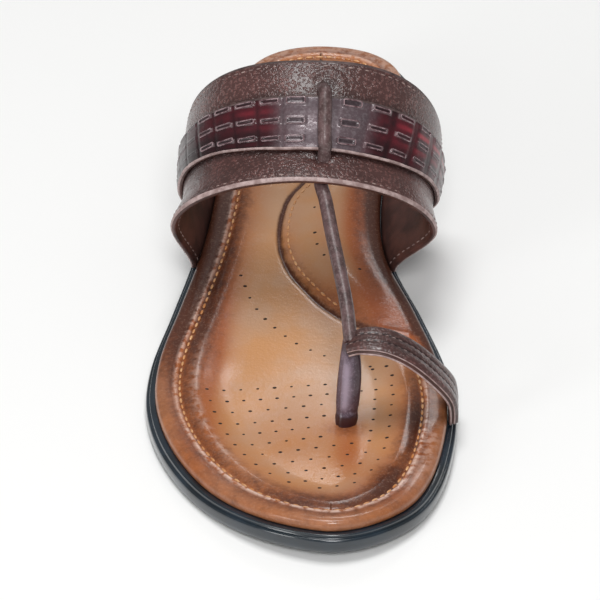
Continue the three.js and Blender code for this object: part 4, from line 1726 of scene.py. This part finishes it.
def rounded_wall(low: float, high: float, inner: float, outer: float, across: float, count: int) -> Points:
    """Section of a leather wall with softly rounded cut edges.

    Args:
        low: v of the rear edge.
        high: v of the front edge.
        inner: Distance out of its inner face.
        outer: Distance out of its outer face.
        across: Millimetres from v = 0 to v = 1.
        count: Corners across each face.

    Returns:
        Rows of v, distance out and part.
    """
    radius = (outer - inner) / 2
    middle = (outer + inner) / 2
    soft = radius / across
    turn = np.linspace(90, -90, 8)[1:-1]
    bend = np.abs(np.cos(np.radians(turn))) ** 0.6
    lift = np.sign(turn) * np.abs(np.sin(np.radians(turn))) ** 0.75
    face = np.linspace(low + soft, high - soft, count)
    stretches = (
        (face, np.full(count, outer), OUTSIDE),
        (high - soft + soft * bend, middle + radius * lift, FRONT_CUT),
        (face[::-1], np.full(count, inner), INSIDE),
        (low + soft - soft * bend, middle - radius * lift, REAR_CUT),
    )
    return np.vstack([np.c_[v, out, np.full(len(v), part)] for v, out, part in stretches])


@dataclass
class Upper:
    """The instep band, its laced strip, the thong, the toe loop and the toe post."""

    form: BandForm
    bench: Bench
    nodes: NodeBench
    # rows from the lateral base to the medial one, and corners across each face
    band_grid: tuple[int, int] = (401, 76)
    strip_grid: tuple[int, int] = (621, 54)
    stitch: Triple = (1.9, 0.6, 0.42)
    stitch_inset: float = 2.1
    stitch_pitch: float = 2.7
    loop_stitch: Triple = (1.6, 0.5, 0.4)
    loop_pitch: float = 2.3
    loop_rings: int = 150
    # the thong over the strip: u, v and distance out of the band's middle
    keeper_rows: tuple[Triple, ...] = (
        (0.511, 0.1, -4), (0.512, 0.17, -2.4), (0.513, 0.215, 1.2), (0.514, 0.27, 5),
        (0.515, 0.36, 5.9), (0.517, 0.5, 6.1), (0.52, 0.64, 5.8), (0.523, 0.72, 4.6),
        (0.524, 0.775, 1), (0.525, 0.83, -2.9), (0.526, 0.92, -3.9),
    )
    # its free run, and the toe loop: station, x, height
    thong_rows: tuple[Triple, ...] = (
        (158, 5, 59.6), (170, 7.4, 54.2), (183, 10.2, 48.4), (195, 12.6, 42.8), (206.4, 14.1, 36.6),
    )
    loop_rows: tuple[Triple, ...] = (
        (206.9, 13.6, 36.4), (207.4, 17.5, 38.4), (207.7, 24.5, 38.3), (207.8, 32.6, 34.4),
        (206.9, 40.5, 26.6), (205, 45.9, 18.2),
    )
    # the toe post: station, x, height, width, depth
    post_rows: tuple[tuple[float, ...], ...] = (
        (205, 13.8, 36.8, 4.8, 3.6), (206.9, 13.8, 30, 6.8, 4.4), (208.8, 13.5, 23.5, 7.6, 4.8),
        (210.8, 13, 16.5, 7.4, 4.6), (211.6, 12.8, 13.6, 6.9, 4.4), (212.2, 12.7, 11.7, 7.3, 4.8),
        (213.2, 12.4, 8, 6, 4),
    )
    # share u of the arch and the strip's front edge v there
    strip_front: Profile = Profile(
        (0.1, 0.2, 0.3, 0.4, 0.46, 0.6, 0.68, 0.76, 0.85, 0.95),
        (0.58, 0.595, 0.63, 0.7, 0.735, STRIP_FRONT, 0.71, 0.65, 0.6, 0.58),
    )

    def wall(
        self, us: Points, section: Points, relief: Surface, narrow: Surface | None = None
    ) -> tuple[Points, Faces, Points, Points, Points]:
        """A leather wall that follows the band.

        Args:
            us: Shares along the arches.
            section: Rows of v, distance out and part.
            relief: Extra distance out of the outer face at (u, v).
            narrow: v on the band of a place in the wall, for a wall that narrows.

        Returns:
            Points, faces, the part of each face, and u and v of each corner.
        """
        vs, out, part = section.T
        u, v = np.meshgrid(us, vs, indexing="ij")
        if narrow is None:
            points, normals = self.form.sheet(us, vs)
        else:
            points, normals = self.narrowed(us, narrow(u, v))
        extra = relief(u, v) * (part == OUTSIDE)[None]
        rings = points + normals * (out[None] + extra)[..., None]
        corners, faces = swept(rings)
        count = len(vs)
        # the leather's own front edge is pale, and the lining's edge under it is dark
        after = np.roll(part, -1)
        lower = np.roll(out, -1) < (out.max() + out.min()) / 2 - 0.05
        same = np.where((part == FRONT_CUT) & lower, INSIDE, part)
        corner = np.where(lower, INSIDE, np.where(np.maximum(part, after) < INSIDE, FRONT_CUT, REAR_CUT))
        ring = np.where(part == after, same, corner)
        parts = np.concatenate([np.tile(ring, len(us) - 1), np.full(2 * count, INSIDE)])
        flat_u = np.concatenate([u.ravel(), us[[0, -1]]])
        flat_v = np.concatenate([v.ravel(), [0.5, 0.5]])
        return corners, faces, parts, flat_u, flat_v

    def narrowed(self, us: Points, v: Points) -> tuple[Points, Points]:
        """Points and normals of a wall whose v changes along its run.

        Args:
            us: Shares along the arches.
            v: v of each corner, with the shape (u, row).

        Returns:
            Points and normals with the shape (u, row, 3).
        """
        stops = np.linspace(v.min(), v.max(), 61)
        points, normals = self.form.sheet(us, stops)
        step = (len(stops) - 1) * (v - stops[0]) / (stops[-1] - stops[0])
        low = np.clip(step.astype(int), 0, len(stops) - 2)
        share = (step - low)[..., None]
        row = np.arange(len(us))[:, None]
        between = [grid[row, low] * (1 - share) + grid[row, low + 1] * share for grid in (points, normals)]
        return between[0], unit(between[1])

    def band(self) -> None:
        """Makes the instep band: pebbled outside, dark lining, cut edges."""
        arch = self.form.length(0.5)

        def relief(u: Points, v: Points) -> Points:
            """Soft swells, dips at the two slits and wrinkles behind the rear one."""
            side = (u - KEEPER_U) * arch
            rear = np.hypot(side, (v - SLIT_REAR) * BAND_WIDTH)
            front = np.hypot(side, (v - SLIT_FRONT) * BAND_WIDTH)
            swell = 0.28 * np.sin(np.pi * np.clip(v / STRIP_REAR, 0, 1))
            swell = swell + 0.28 * np.sin(np.pi * np.clip((v - STRIP_FRONT) / (1 - STRIP_FRONT), 0, 1))
            wave = 0.12 * np.sin(u * 31 + 2 * v) * np.sin(u * 13 + 1.3)
            behind = smooth(0.2, 0.12, v) * bump(side, 6.5)
            wrinkle = 0.32 * behind * np.cos(2 * np.pi * rear / 2.7) * bump(rear - 4, 4.5)
            round_slit = np.arctan2(v - SLIT_FRONT, side / BAND_WIDTH)
            puckers = 0.25 * bump(front - 3.4, 2.4) * np.cos(5 * round_slit)
            dips = 0.7 * bump(rear, 2.6) + 0.7 * bump(front, 2.6)
            return swell + wave + wrinkle + puckers - dips

        rows, columns = self.band_grid
        us = np.linspace(0, 1, rows)
        section = rounded_wall(0, 1, -BAND_WALL / 2, BAND_WALL / 2, BAND_WIDTH, columns)
        points, faces, parts, u, v = self.wall(us, section, relief)
        side = np.abs(u - KEEPER_U) * arch
        height = points[:, 2]
        # the pebble grain, and with it the painted glints, grows stronger towards the top of the band
        grain_and_glint = 0.35 + 0.65 * smooth(40, 66, height)
        slit = np.minimum(
            np.hypot(side, (v - SLIT_REAR) * BAND_WIDTH), np.hypot(side, (v - 0.79) * BAND_WIDTH)
        )
        front = self.strip_front(u)
        shade = 0.85 * bump(slit, 2.4) + 0.4 * smooth(0.16, 0.02, np.minimum(u, 1 - u))
        shade = shade + 0.4 * bump((v - STRIP_REAR) * BAND_WIDTH, 1.8)
        shade = shade + 0.35 * smooth(-22, -58, (u - KEEPER_U) * arch) * smooth(0.5, 0.7, v)
        shade = shade + 0.55 * bump((v - front) * BAND_WIDTH, 1.9)
        # paler along the front edge, and a painted highlight on the top of the band near its rear edge
        wear_and_highlight = 0.2 * bump((1 - v) * BAND_WIDTH - 0.4, 0.9)
        wear_and_highlight = wear_and_highlight + 0.1 * bump(height - 62, 14) * smooth(52, 30, side) * bump(v - 0.12, 0.12)
        masks = {"grain_and_glint": grain_and_glint, "shade": np.clip(shade, 0, 1), "wear_and_highlight": wear_and_highlight}
        leather = leathers(Finish.PEBBLED)
        self.bench.piece("instep_band_leather", "instep_band", points, faces, leather, parts, masks)

    def sewn(self, v: float, out: float) -> Row:
        """A row of stitches along the band, from one base to the other.

        Args:
            v: Its arch.
            out: Distance out from the wall's middle.

        Returns:
            Points, normals and directions.
        """
        start, end = 0.02, 0.98
        count = int(self.form.length(v) * (end - start) / self.stitch_pitch)
        return self.form.spots(np.linspace(start, end, count), np.full(count, v), out)

    def band_stitches(self) -> None:
        """Sews the band's two edges outside, and its front edge inside."""
        out = BAND_WALL / 2
        edge = self.stitch_inset / BAND_WIDTH
        places = ((edge, out + 0.06), (1 - edge, out + 0.06), (1 - edge, -out - 0.04))
        rows = [self.sewn(v, lift) for v, lift in places]
        self.nodes.stitches("band_stitches", rows, self.stitch, Finish.DARK_THREAD, "instep_band")

    def lace_spots(self) -> tuple[Points, Points]:
        """Middles of the lacing bars.

        Returns:
            Their shares u and v, one for each bar.
        """
        arch = self.form.length(STRIP_MIDDLE)
        us = sorted(
            KEEPER_U + side * (first + pitch * k) / arch
            for side, first, pitch in LACE_COLUMNS
            for k in range(11)
        )
        us = [u for u in us if 0.1 < u < 0.9]
        grid = np.array([(u, share) for u in us for share in LACE_ROWS])
        return grid[:, 0], STRIP_REAR + STRIP_SPAN * grid[:, 1]

    def on_strip(self, u: Points, v: Points) -> Points:
        """v on the band of a place in the strip, which narrows towards both bases.

        Args:
            u: Share along the arch.
            v: Its v where the strip has its full width.

        Returns:
            v on the band.
        """
        share = (v - STRIP_REAR) / STRIP_SPAN
        return STRIP_REAR + (self.strip_front(u) - STRIP_REAR) * share

    def strip(self) -> None:
        """Makes the centre strip: glazed burgundy leather with its lacing bars raised."""
        arch = self.form.length(STRIP_MIDDLE)
        lace_u, lace_v = self.lace_spots()
        per_v = STRIP_WIDTH / STRIP_SPAN

        def to_lace(u: Points, v: Points) -> tuple[Points, Points]:
            """Distances in millimetres to the nearest bar's middle, along and across."""
            du = (u[..., None] - np.unique(lace_u)) * arch
            dv = (v[..., None] - np.unique(lace_v)) * per_v
            near_u = np.take_along_axis(du, np.abs(du).argmin(-1)[..., None], -1)[..., 0]
            near_v = np.take_along_axis(dv, np.abs(dv).argmin(-1)[..., None], -1)[..., 0]
            return near_u, near_v

        def relief(u: Points, v: Points) -> Points:
            """Raised bars, soft panels between them and a soft crown."""
            a, b = to_lace(u, v)
            b = b * (1 + 0.6 * smooth(12, 18, np.abs(u - KEEPER_U) * arch))
            bars = smooth(3.5, 2.7, np.abs(a)) * smooth(1.5, 0.95, np.abs(b))
            panel = 0.12 * smooth(4.0, 2.6, np.abs(a))
            dip = smooth(2.7, 1.9, np.abs(a)) * smooth(0.95, 0.45, np.abs(b))
            crown = 0.2 * np.sin(np.pi * (v - STRIP_REAR) / STRIP_SPAN)
            wave = 0.12 * np.sin(u * 47 + 3 * v) * np.sin(u * 19 + 5 * v)
            far = 1 - 0.6 * smooth(22, 44, np.abs(u - KEEPER_U) * arch)
            return far * (0.5 * bars - 0.32 * dip) + panel + crown + wave

        rows, columns = self.strip_grid
        us = np.linspace(STRIP_END, 1 - STRIP_END, rows)
        inner = BAND_WALL / 2 + 0.06
        section = rounded_wall(STRIP_REAR, STRIP_FRONT, inner, STRIP_FACE, per_v, columns)
        points, faces, parts, u, v = self.wall(us, section, relief, self.on_strip)
        a, b = to_lace(u, v)
        away = (u - KEEPER_U) * arch
        plain = smooth(1.8, 3.0, np.abs(b))
        b = b * (1 + 0.6 * smooth(12, 18, np.abs(away)))
        # painted glare on both sides of the keeper, where the glazed crown faces the overhead light
        painted_glare = 0.85 * smooth(18.5, 9.5, np.abs(away))
        # painted shade in the slot inside each lace frame, over its shallow dip
        slot = smooth(2.9, 2.3, np.abs(a)) * smooth(1.0, 0.55, np.abs(b))
        share = (v - STRIP_REAR) / STRIP_SPAN
        lateral = smooth(-20, -55, away)
        medial = smooth(14, 34, away)
        # painted reddish highlight in the middle of each panel, strongest on the lateral flank and the
        # medial side
        glow = plain * smooth(4.2, 2.0, np.abs(a)) * (0.4 * bump(away + 22, 8) + 0.9 * medial)
        glow = glow * bump(share - 0.3, 0.28)
        shade = 0.35 + 0.3 * smooth(3.0, 4.4, np.abs(a)) + 0.35 * lateral - 0.35 * medial
        shade = shade + 0.35 * smooth(0.5, 0.68, share) * smooth(13, 18, np.abs(away))
        shade = shade + 0.4 * smooth(0.1, 0.02, np.minimum(share, 1 - share))
        # painted glints on the bars' rims, brighter on some bars than on others
        rim = smooth(3.6, 3.1, np.abs(a)) * smooth(1.55, 1.25, np.abs(b)) * (1 - slot)
        glint = 0.5 + 0.5 * np.sin(5.3 * np.round(away / 4.2))
        masks = {
            "painted_glare": np.clip(painted_glare, 0, 1),
            "glow": np.clip(glow, 0, 1),
            "shade": np.clip(shade, 0, 1),
            "slot": np.clip(0.65 * slot, 0, 1),
            "wear_and_highlight": np.clip(rim * (0.08 + 0.22 * glint), 0, 1),
        }
        leather = leathers(Finish.BURGUNDY)
        self.bench.piece("centre_strip_leather", "centre_strip", points, faces, leather, parts, masks)

    def lacing(self) -> None:
        """Lays a thin lace round each raised bar."""
        us, vs = self.lace_spots()
        arch = self.form.length(0.5)
        away = np.abs(us - KEEPER_U) * arch
        out = STRIP_FACE + 0.5 - 0.3 * smooth(22, 44, away)
        # the frames are flat, so they are shorter and lie deeper where the band turns down steeply
        turned = smooth(42, 54, away)
        out = out - 0.2 * turned
        points, normals, along = self.form.spots(us, self.on_strip(us, vs), out)
        near = away < 15
        for name, chosen, width in (("lacing_by_keeper", near, 2.1), ("lacing_by_sides", ~near, 1.3)):
            spots = (points[chosen], normals[chosen], along[chosen])
            item = self.nodes.points(name, *spots, 1 - 0.25 * turned[chosen])
            made = self.nodes.lace.apply(item, {
                "Length": LACE_LENGTH / 1000, "Width": width / 1000, "Corner": LACE_CORNER / 1000,
                "Thickness": LACE_THICKNESS / 1000, "Material": Finish.LACE.material(),
            })
            self.bench.ready(made, "centre_strip")

    def thong(self) -> None:
        """Rolls the thong: keeper over the strip, then the free run to the toe loop."""
        us, vs, out = (np.array(column) for column in zip(*self.keeper_rows))
        keeper = self.form.spots(us, vs, out)[0]
        free = np.array([place(*row) for row in self.thong_rows])
        line = smooth_line(np.vstack([keeper, free]), 14)
        curve = bpy.data.curves.new("thong_path", "CURVE")
        curve.dimensions = "3D"
        spline = curve.splines.new("POLY")
        spline.points.add(len(line) - 1)
        for point, p in zip(spline.points, self.bench.placed(line)):
            point.co = (*p, 1)
        made = self.nodes.roll.apply(linked("thong_leather", curve), {
            "Width": THONG_WIDTH / 1000, "Height": THONG_HEIGHT / 1000, "Seam depth": THONG_SEAM / 1000,
            "Seam width": THONG_SEAM / 1000, "Seam place": THONG_SEAM_PLACE / 1000,
            "Material": Finish.THONG.material(),
        })
        self.bench.ready(made, "thong_and_toe_loop", "thong_and_toe_loop")

    @staticmethod
    def loop_section() -> Points:
        """Section of the toe loop: a ribbed strap on a wider lining.

        Returns:
            Rows of width (to the toe), thickness (outward) and part.
        """
        half = LOOP_WIDTH / 2
        w = np.linspace(-half, half, 49)
        rib = LOOP_WIDTH / 3
        dome = 0.1 * np.cos(2 * np.pi * w / rib)
        grooves = sum(0.3 * bump(w - at, 0.4) for at in (-rib / 2, rib / 2))
        ends = 0.8 * smooth(5.5, half, np.abs(w))
        top = np.c_[w, 1.5 + dome - grooves - ends, np.full(len(w), OUTSIDE)]
        # the strap's own edge, a dark gap, and the edge of the lining that stands out under it
        front = [
            [6.45, 0.55, FRONT_CUT], [6.5, 0.2, FRONT_CUT], [6.2, 0.05, INSIDE], [6.2, -0.5, INSIDE],
            [6.95, -0.6, FRONT_CUT], [7.1, -0.85, FRONT_CUT], [7.0, -1.2, INSIDE], [6.4, -1.5, INSIDE],
        ]
        back = w[::-4]
        under = np.c_[back, np.full(len(back), -1.55), np.full(len(back), INSIDE)]
        rear = [[-6.5, -1.2, REAR_CUT], [-6.6, -0.4, REAR_CUT], [-6.5, 0.3, REAR_CUT]]
        return np.vstack([top, front, under, rear])

    def toe_loop(self) -> None:
        """Makes the loop over the big toe and sews its two grooves."""
        sole = self.form.sole
        seat_x = float(sole.edge(Side.MEDIAL, LOOP_BASE_STATION)) - FOOTBED_INSET + 1.5 * GAP + 1.5
        seat_height = float(sole.underside(LOOP_BASE_STATION)) + LEDGE + GAP
        rows = [
            *self.loop_rows,
            (LOOP_BASE_STATION, seat_x, seat_height + 4.2),
            (LOOP_BASE_STATION, seat_x, seat_height),
        ]
        line = smooth_line([place(*row) for row in rows], 30)
        fine = spaced(line, along_line(line)[-1] / self.loop_rings)
        tangent = unit(np.gradient(fine, axis=0))
        tangent[-1] = (0, 0, -1)
        across = unit(np.array([0, -1, 0]) + tangent * tangent[:, 1:2])
        outward = unit(np.cross(across, tangent))
        section = self.loop_section()
        t = np.linspace(0, 1, len(fine))[:, None]
        pinch = 1 - 0.28 * bump(t, 0.09)
        rings = (
            fine[:, None]
            + across[:, None] * (section[None, :, 0] * pinch)[..., None]
            + outward[:, None] * section[None, :, 1][..., None]
        )
        points, faces = swept(rings)
        part = section[:, 2]
        parts = np.concatenate([np.tile(part, len(fine) - 1), np.full(2 * len(part), INSIDE)])
        groove = bump(np.abs(section[:, 0]) - LOOP_WIDTH / 6, 0.5)
        groove = np.concatenate([np.tile(groove, len(fine)), [0, 0]])
        masks = {
            "grain_and_glint": np.full(len(points), 0.85),
            "shade": np.clip(0.12 + 0.8 * groove, 0, 1),
            "wear_and_highlight": np.zeros(len(points)),
        }
        node = "thong_and_toe_loop"
        leather = leathers(Finish.PEBBLED)
        self.bench.piece("toe_loop_leather", node, points, faces, leather, parts, masks)
        seams = []
        for side in (-1, 1):
            offset = fine + across * (side * LOOP_WIDTH / 6) * pinch + outward * 1.1
            sewn = spaced(offset, self.loop_pitch, 1.5)
            i = np.clip((np.arange(len(sewn)) / len(sewn) * len(fine)).astype(int), 0, len(fine) - 1)
            seams.append((sewn, outward[i], tangent[i]))
        self.nodes.stitches("toe_loop_stitches", seams, self.loop_stitch, Finish.DARK_THREAD, node)

    def post(self) -> None:
        """Folds the toe post: an oval roll with a crease down its side."""
        table = np.array(self.post_rows)
        fine = smooth_line(table, 14)
        middle = place(fine[:, 0], fine[:, 1], fine[:, 2])
        run = unit(np.gradient(middle, axis=0))
        side = np.tile([[1.0, 0, 0]], (len(fine), 1))
        front = unit(np.cross(side, run))
        t = np.linspace(0, 2 * np.pi, 57)[:-1]
        fold = 1 + 0.06 * np.cos(3 * t + 0.6) - 0.14 * bump(np.angle(np.exp(1j * (t - 2.5))), 0.16)
        rings = (
            middle[:, None]
            + side[:, None] * (fine[:, 3, None] / 2 * (np.cos(-t) * fold)[None])[..., None]
            + front[:, None] * (fine[:, 4, None] / 2 * (np.sin(-t) * fold)[None])[..., None]
        )
        points, faces = swept(rings)
        foot = smooth(13.6, 12.6, points[:, 2])
        off = points[:, 0] - np.interp(points[:, 2], fine[::-1, 2], fine[::-1, 1])
        lateral = smooth(-1.9, -3.2, off)
        upper = smooth(32.5, 34.5, points[:, 2])
        medial = smooth(0.8, 2.8, off)
        # painted highlight down the left of the middle
        light = 0.8 * bump(off + 0.8, 1.2) * smooth(14, 17, points[:, 2]) * smooth(33, 28, points[:, 2])
        # the foot's dark ring is the leather's own colour; the medial side and the top under the loop get
        # painted shade, and the lateral edge is darker too
        shade = np.clip(foot + 0.5 * lateral + 0.7 * medial + 0.7 * upper, 0, 1)
        masks = {"shade": shade, "light": light}
        leather = [Finish.POST.material()]
        self.bench.piece("toe_post_leather", "toe_post", points, faces, leather, masks=masks)

    def make(self) -> None:
        """Makes the whole upper."""
        self.band()
        self.band_stitches()
        self.strip()
        self.lacing()
        self.thong()
        self.toe_loop()
        self.post()


# ---------------------------------------------------------------- studio


@dataclass
class Studio:
    """Pale floor, soft lights and the camera."""

    # places in metres, the roll in degrees and the lens in millimetres
    place_of_camera: Triple = (0.0319, -1.137, 0.7816)
    aim: Triple = (-0.0014, -0.0215, 0.02)
    roll: float = -0.36
    lens: float = 245.3
    floor_reach: float = 4.0
    paper: str = "F7F7F6"
    surroundings: float = 0.22

    def floor(self) -> None:
        """Lays the pale floor."""
        mesh = bpy.data.meshes.new("floor")
        reach = self.floor_reach
        corners = [(-reach, -reach, 0), (reach, -reach, 0), (reach, reach, 0), (-reach, reach, 0)]
        mesh.from_pydata(corners, [], [(0, 1, 2, 3)])
        s = Shader("matt_white_paper", Roughness=0.9)
        s.colour(self.paper)
        mesh.materials.append(s.material)
        linked("floor", mesh)

    @staticmethod
    def softbox(name: str, at: Triple, size: tuple[float, float], power: float) -> None:
        """Hangs a softbox that faces the shoe.

        Args:
            name: Its name.
            at: Its place in metres.
            size: Its width and height in metres.
            power: Its power in watts.
        """
        light = bpy.data.lights.new(name, "AREA")
        light.shape = "RECTANGLE"
        light.size, light.size_y = size
        light.energy = power
        item = linked(name, light)
        item.location = at
        item.rotation_euler = (-Vector(at)).to_track_quat("-Z", "Y").to_euler()

    def lights(self) -> None:
        """Hangs the lights and whitens the surroundings."""
        self.softbox("key", (0.12, -1.45, 1.35), (0.5, 0.5), 16)
        self.softbox("top", (-0.1, 0.05, 1.9), (0.9, 0.7), 18)
        self.softbox("back", (0.1, 1.55, 1.33), (0.34, 0.26), 2.4)
        self.softbox("front_left", (-1.2, -1.2, 0.5), (0.5, 0.8), 6)
        world = bpy.data.worlds.new("white_studio")
        world.use_nodes = True
        back = world.node_tree.nodes["Background"]
        back.inputs["Color"].default_value = (1, 1, 1, 1)
        back.inputs["Strength"].default_value = self.surroundings
        bpy.context.scene.world = world

    def camera(self) -> None:
        """Sets the camera at the photograph's angle."""
        data = bpy.data.cameras.new("camera")
        data.lens = self.lens
        item = linked("camera", data)
        look = Vector(self.aim) - Vector(self.place_of_camera)
        turn = look.to_track_quat("-Z", "Y").to_matrix() @ Matrix.Rotation(math.radians(self.roll), 3, "Z")
        item.location = self.place_of_camera
        item.rotation_euler = turn.to_euler()
        bpy.context.scene.camera = item
        bpy.context.scene.view_settings.view_transform = "Standard"

    def make(self) -> None:
        """Makes the studio."""
        self.floor()
        self.lights()
        self.camera()


def main() -> None:
    """Builds the sandal and its studio."""
    logging.basicConfig(level=logging.INFO, format="%(name)s %(message)s")
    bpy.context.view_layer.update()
    sole_form = SoleForm()
    bench = Bench(shoe_shift(sole_form))
    nodes = NodeBench(bench)
    Sole(sole_form, bench, nodes).make()
    Upper(BandForm(sole_form), bench, nodes).make()
    Studio().make()


if __name__ == "__main__":
    main()
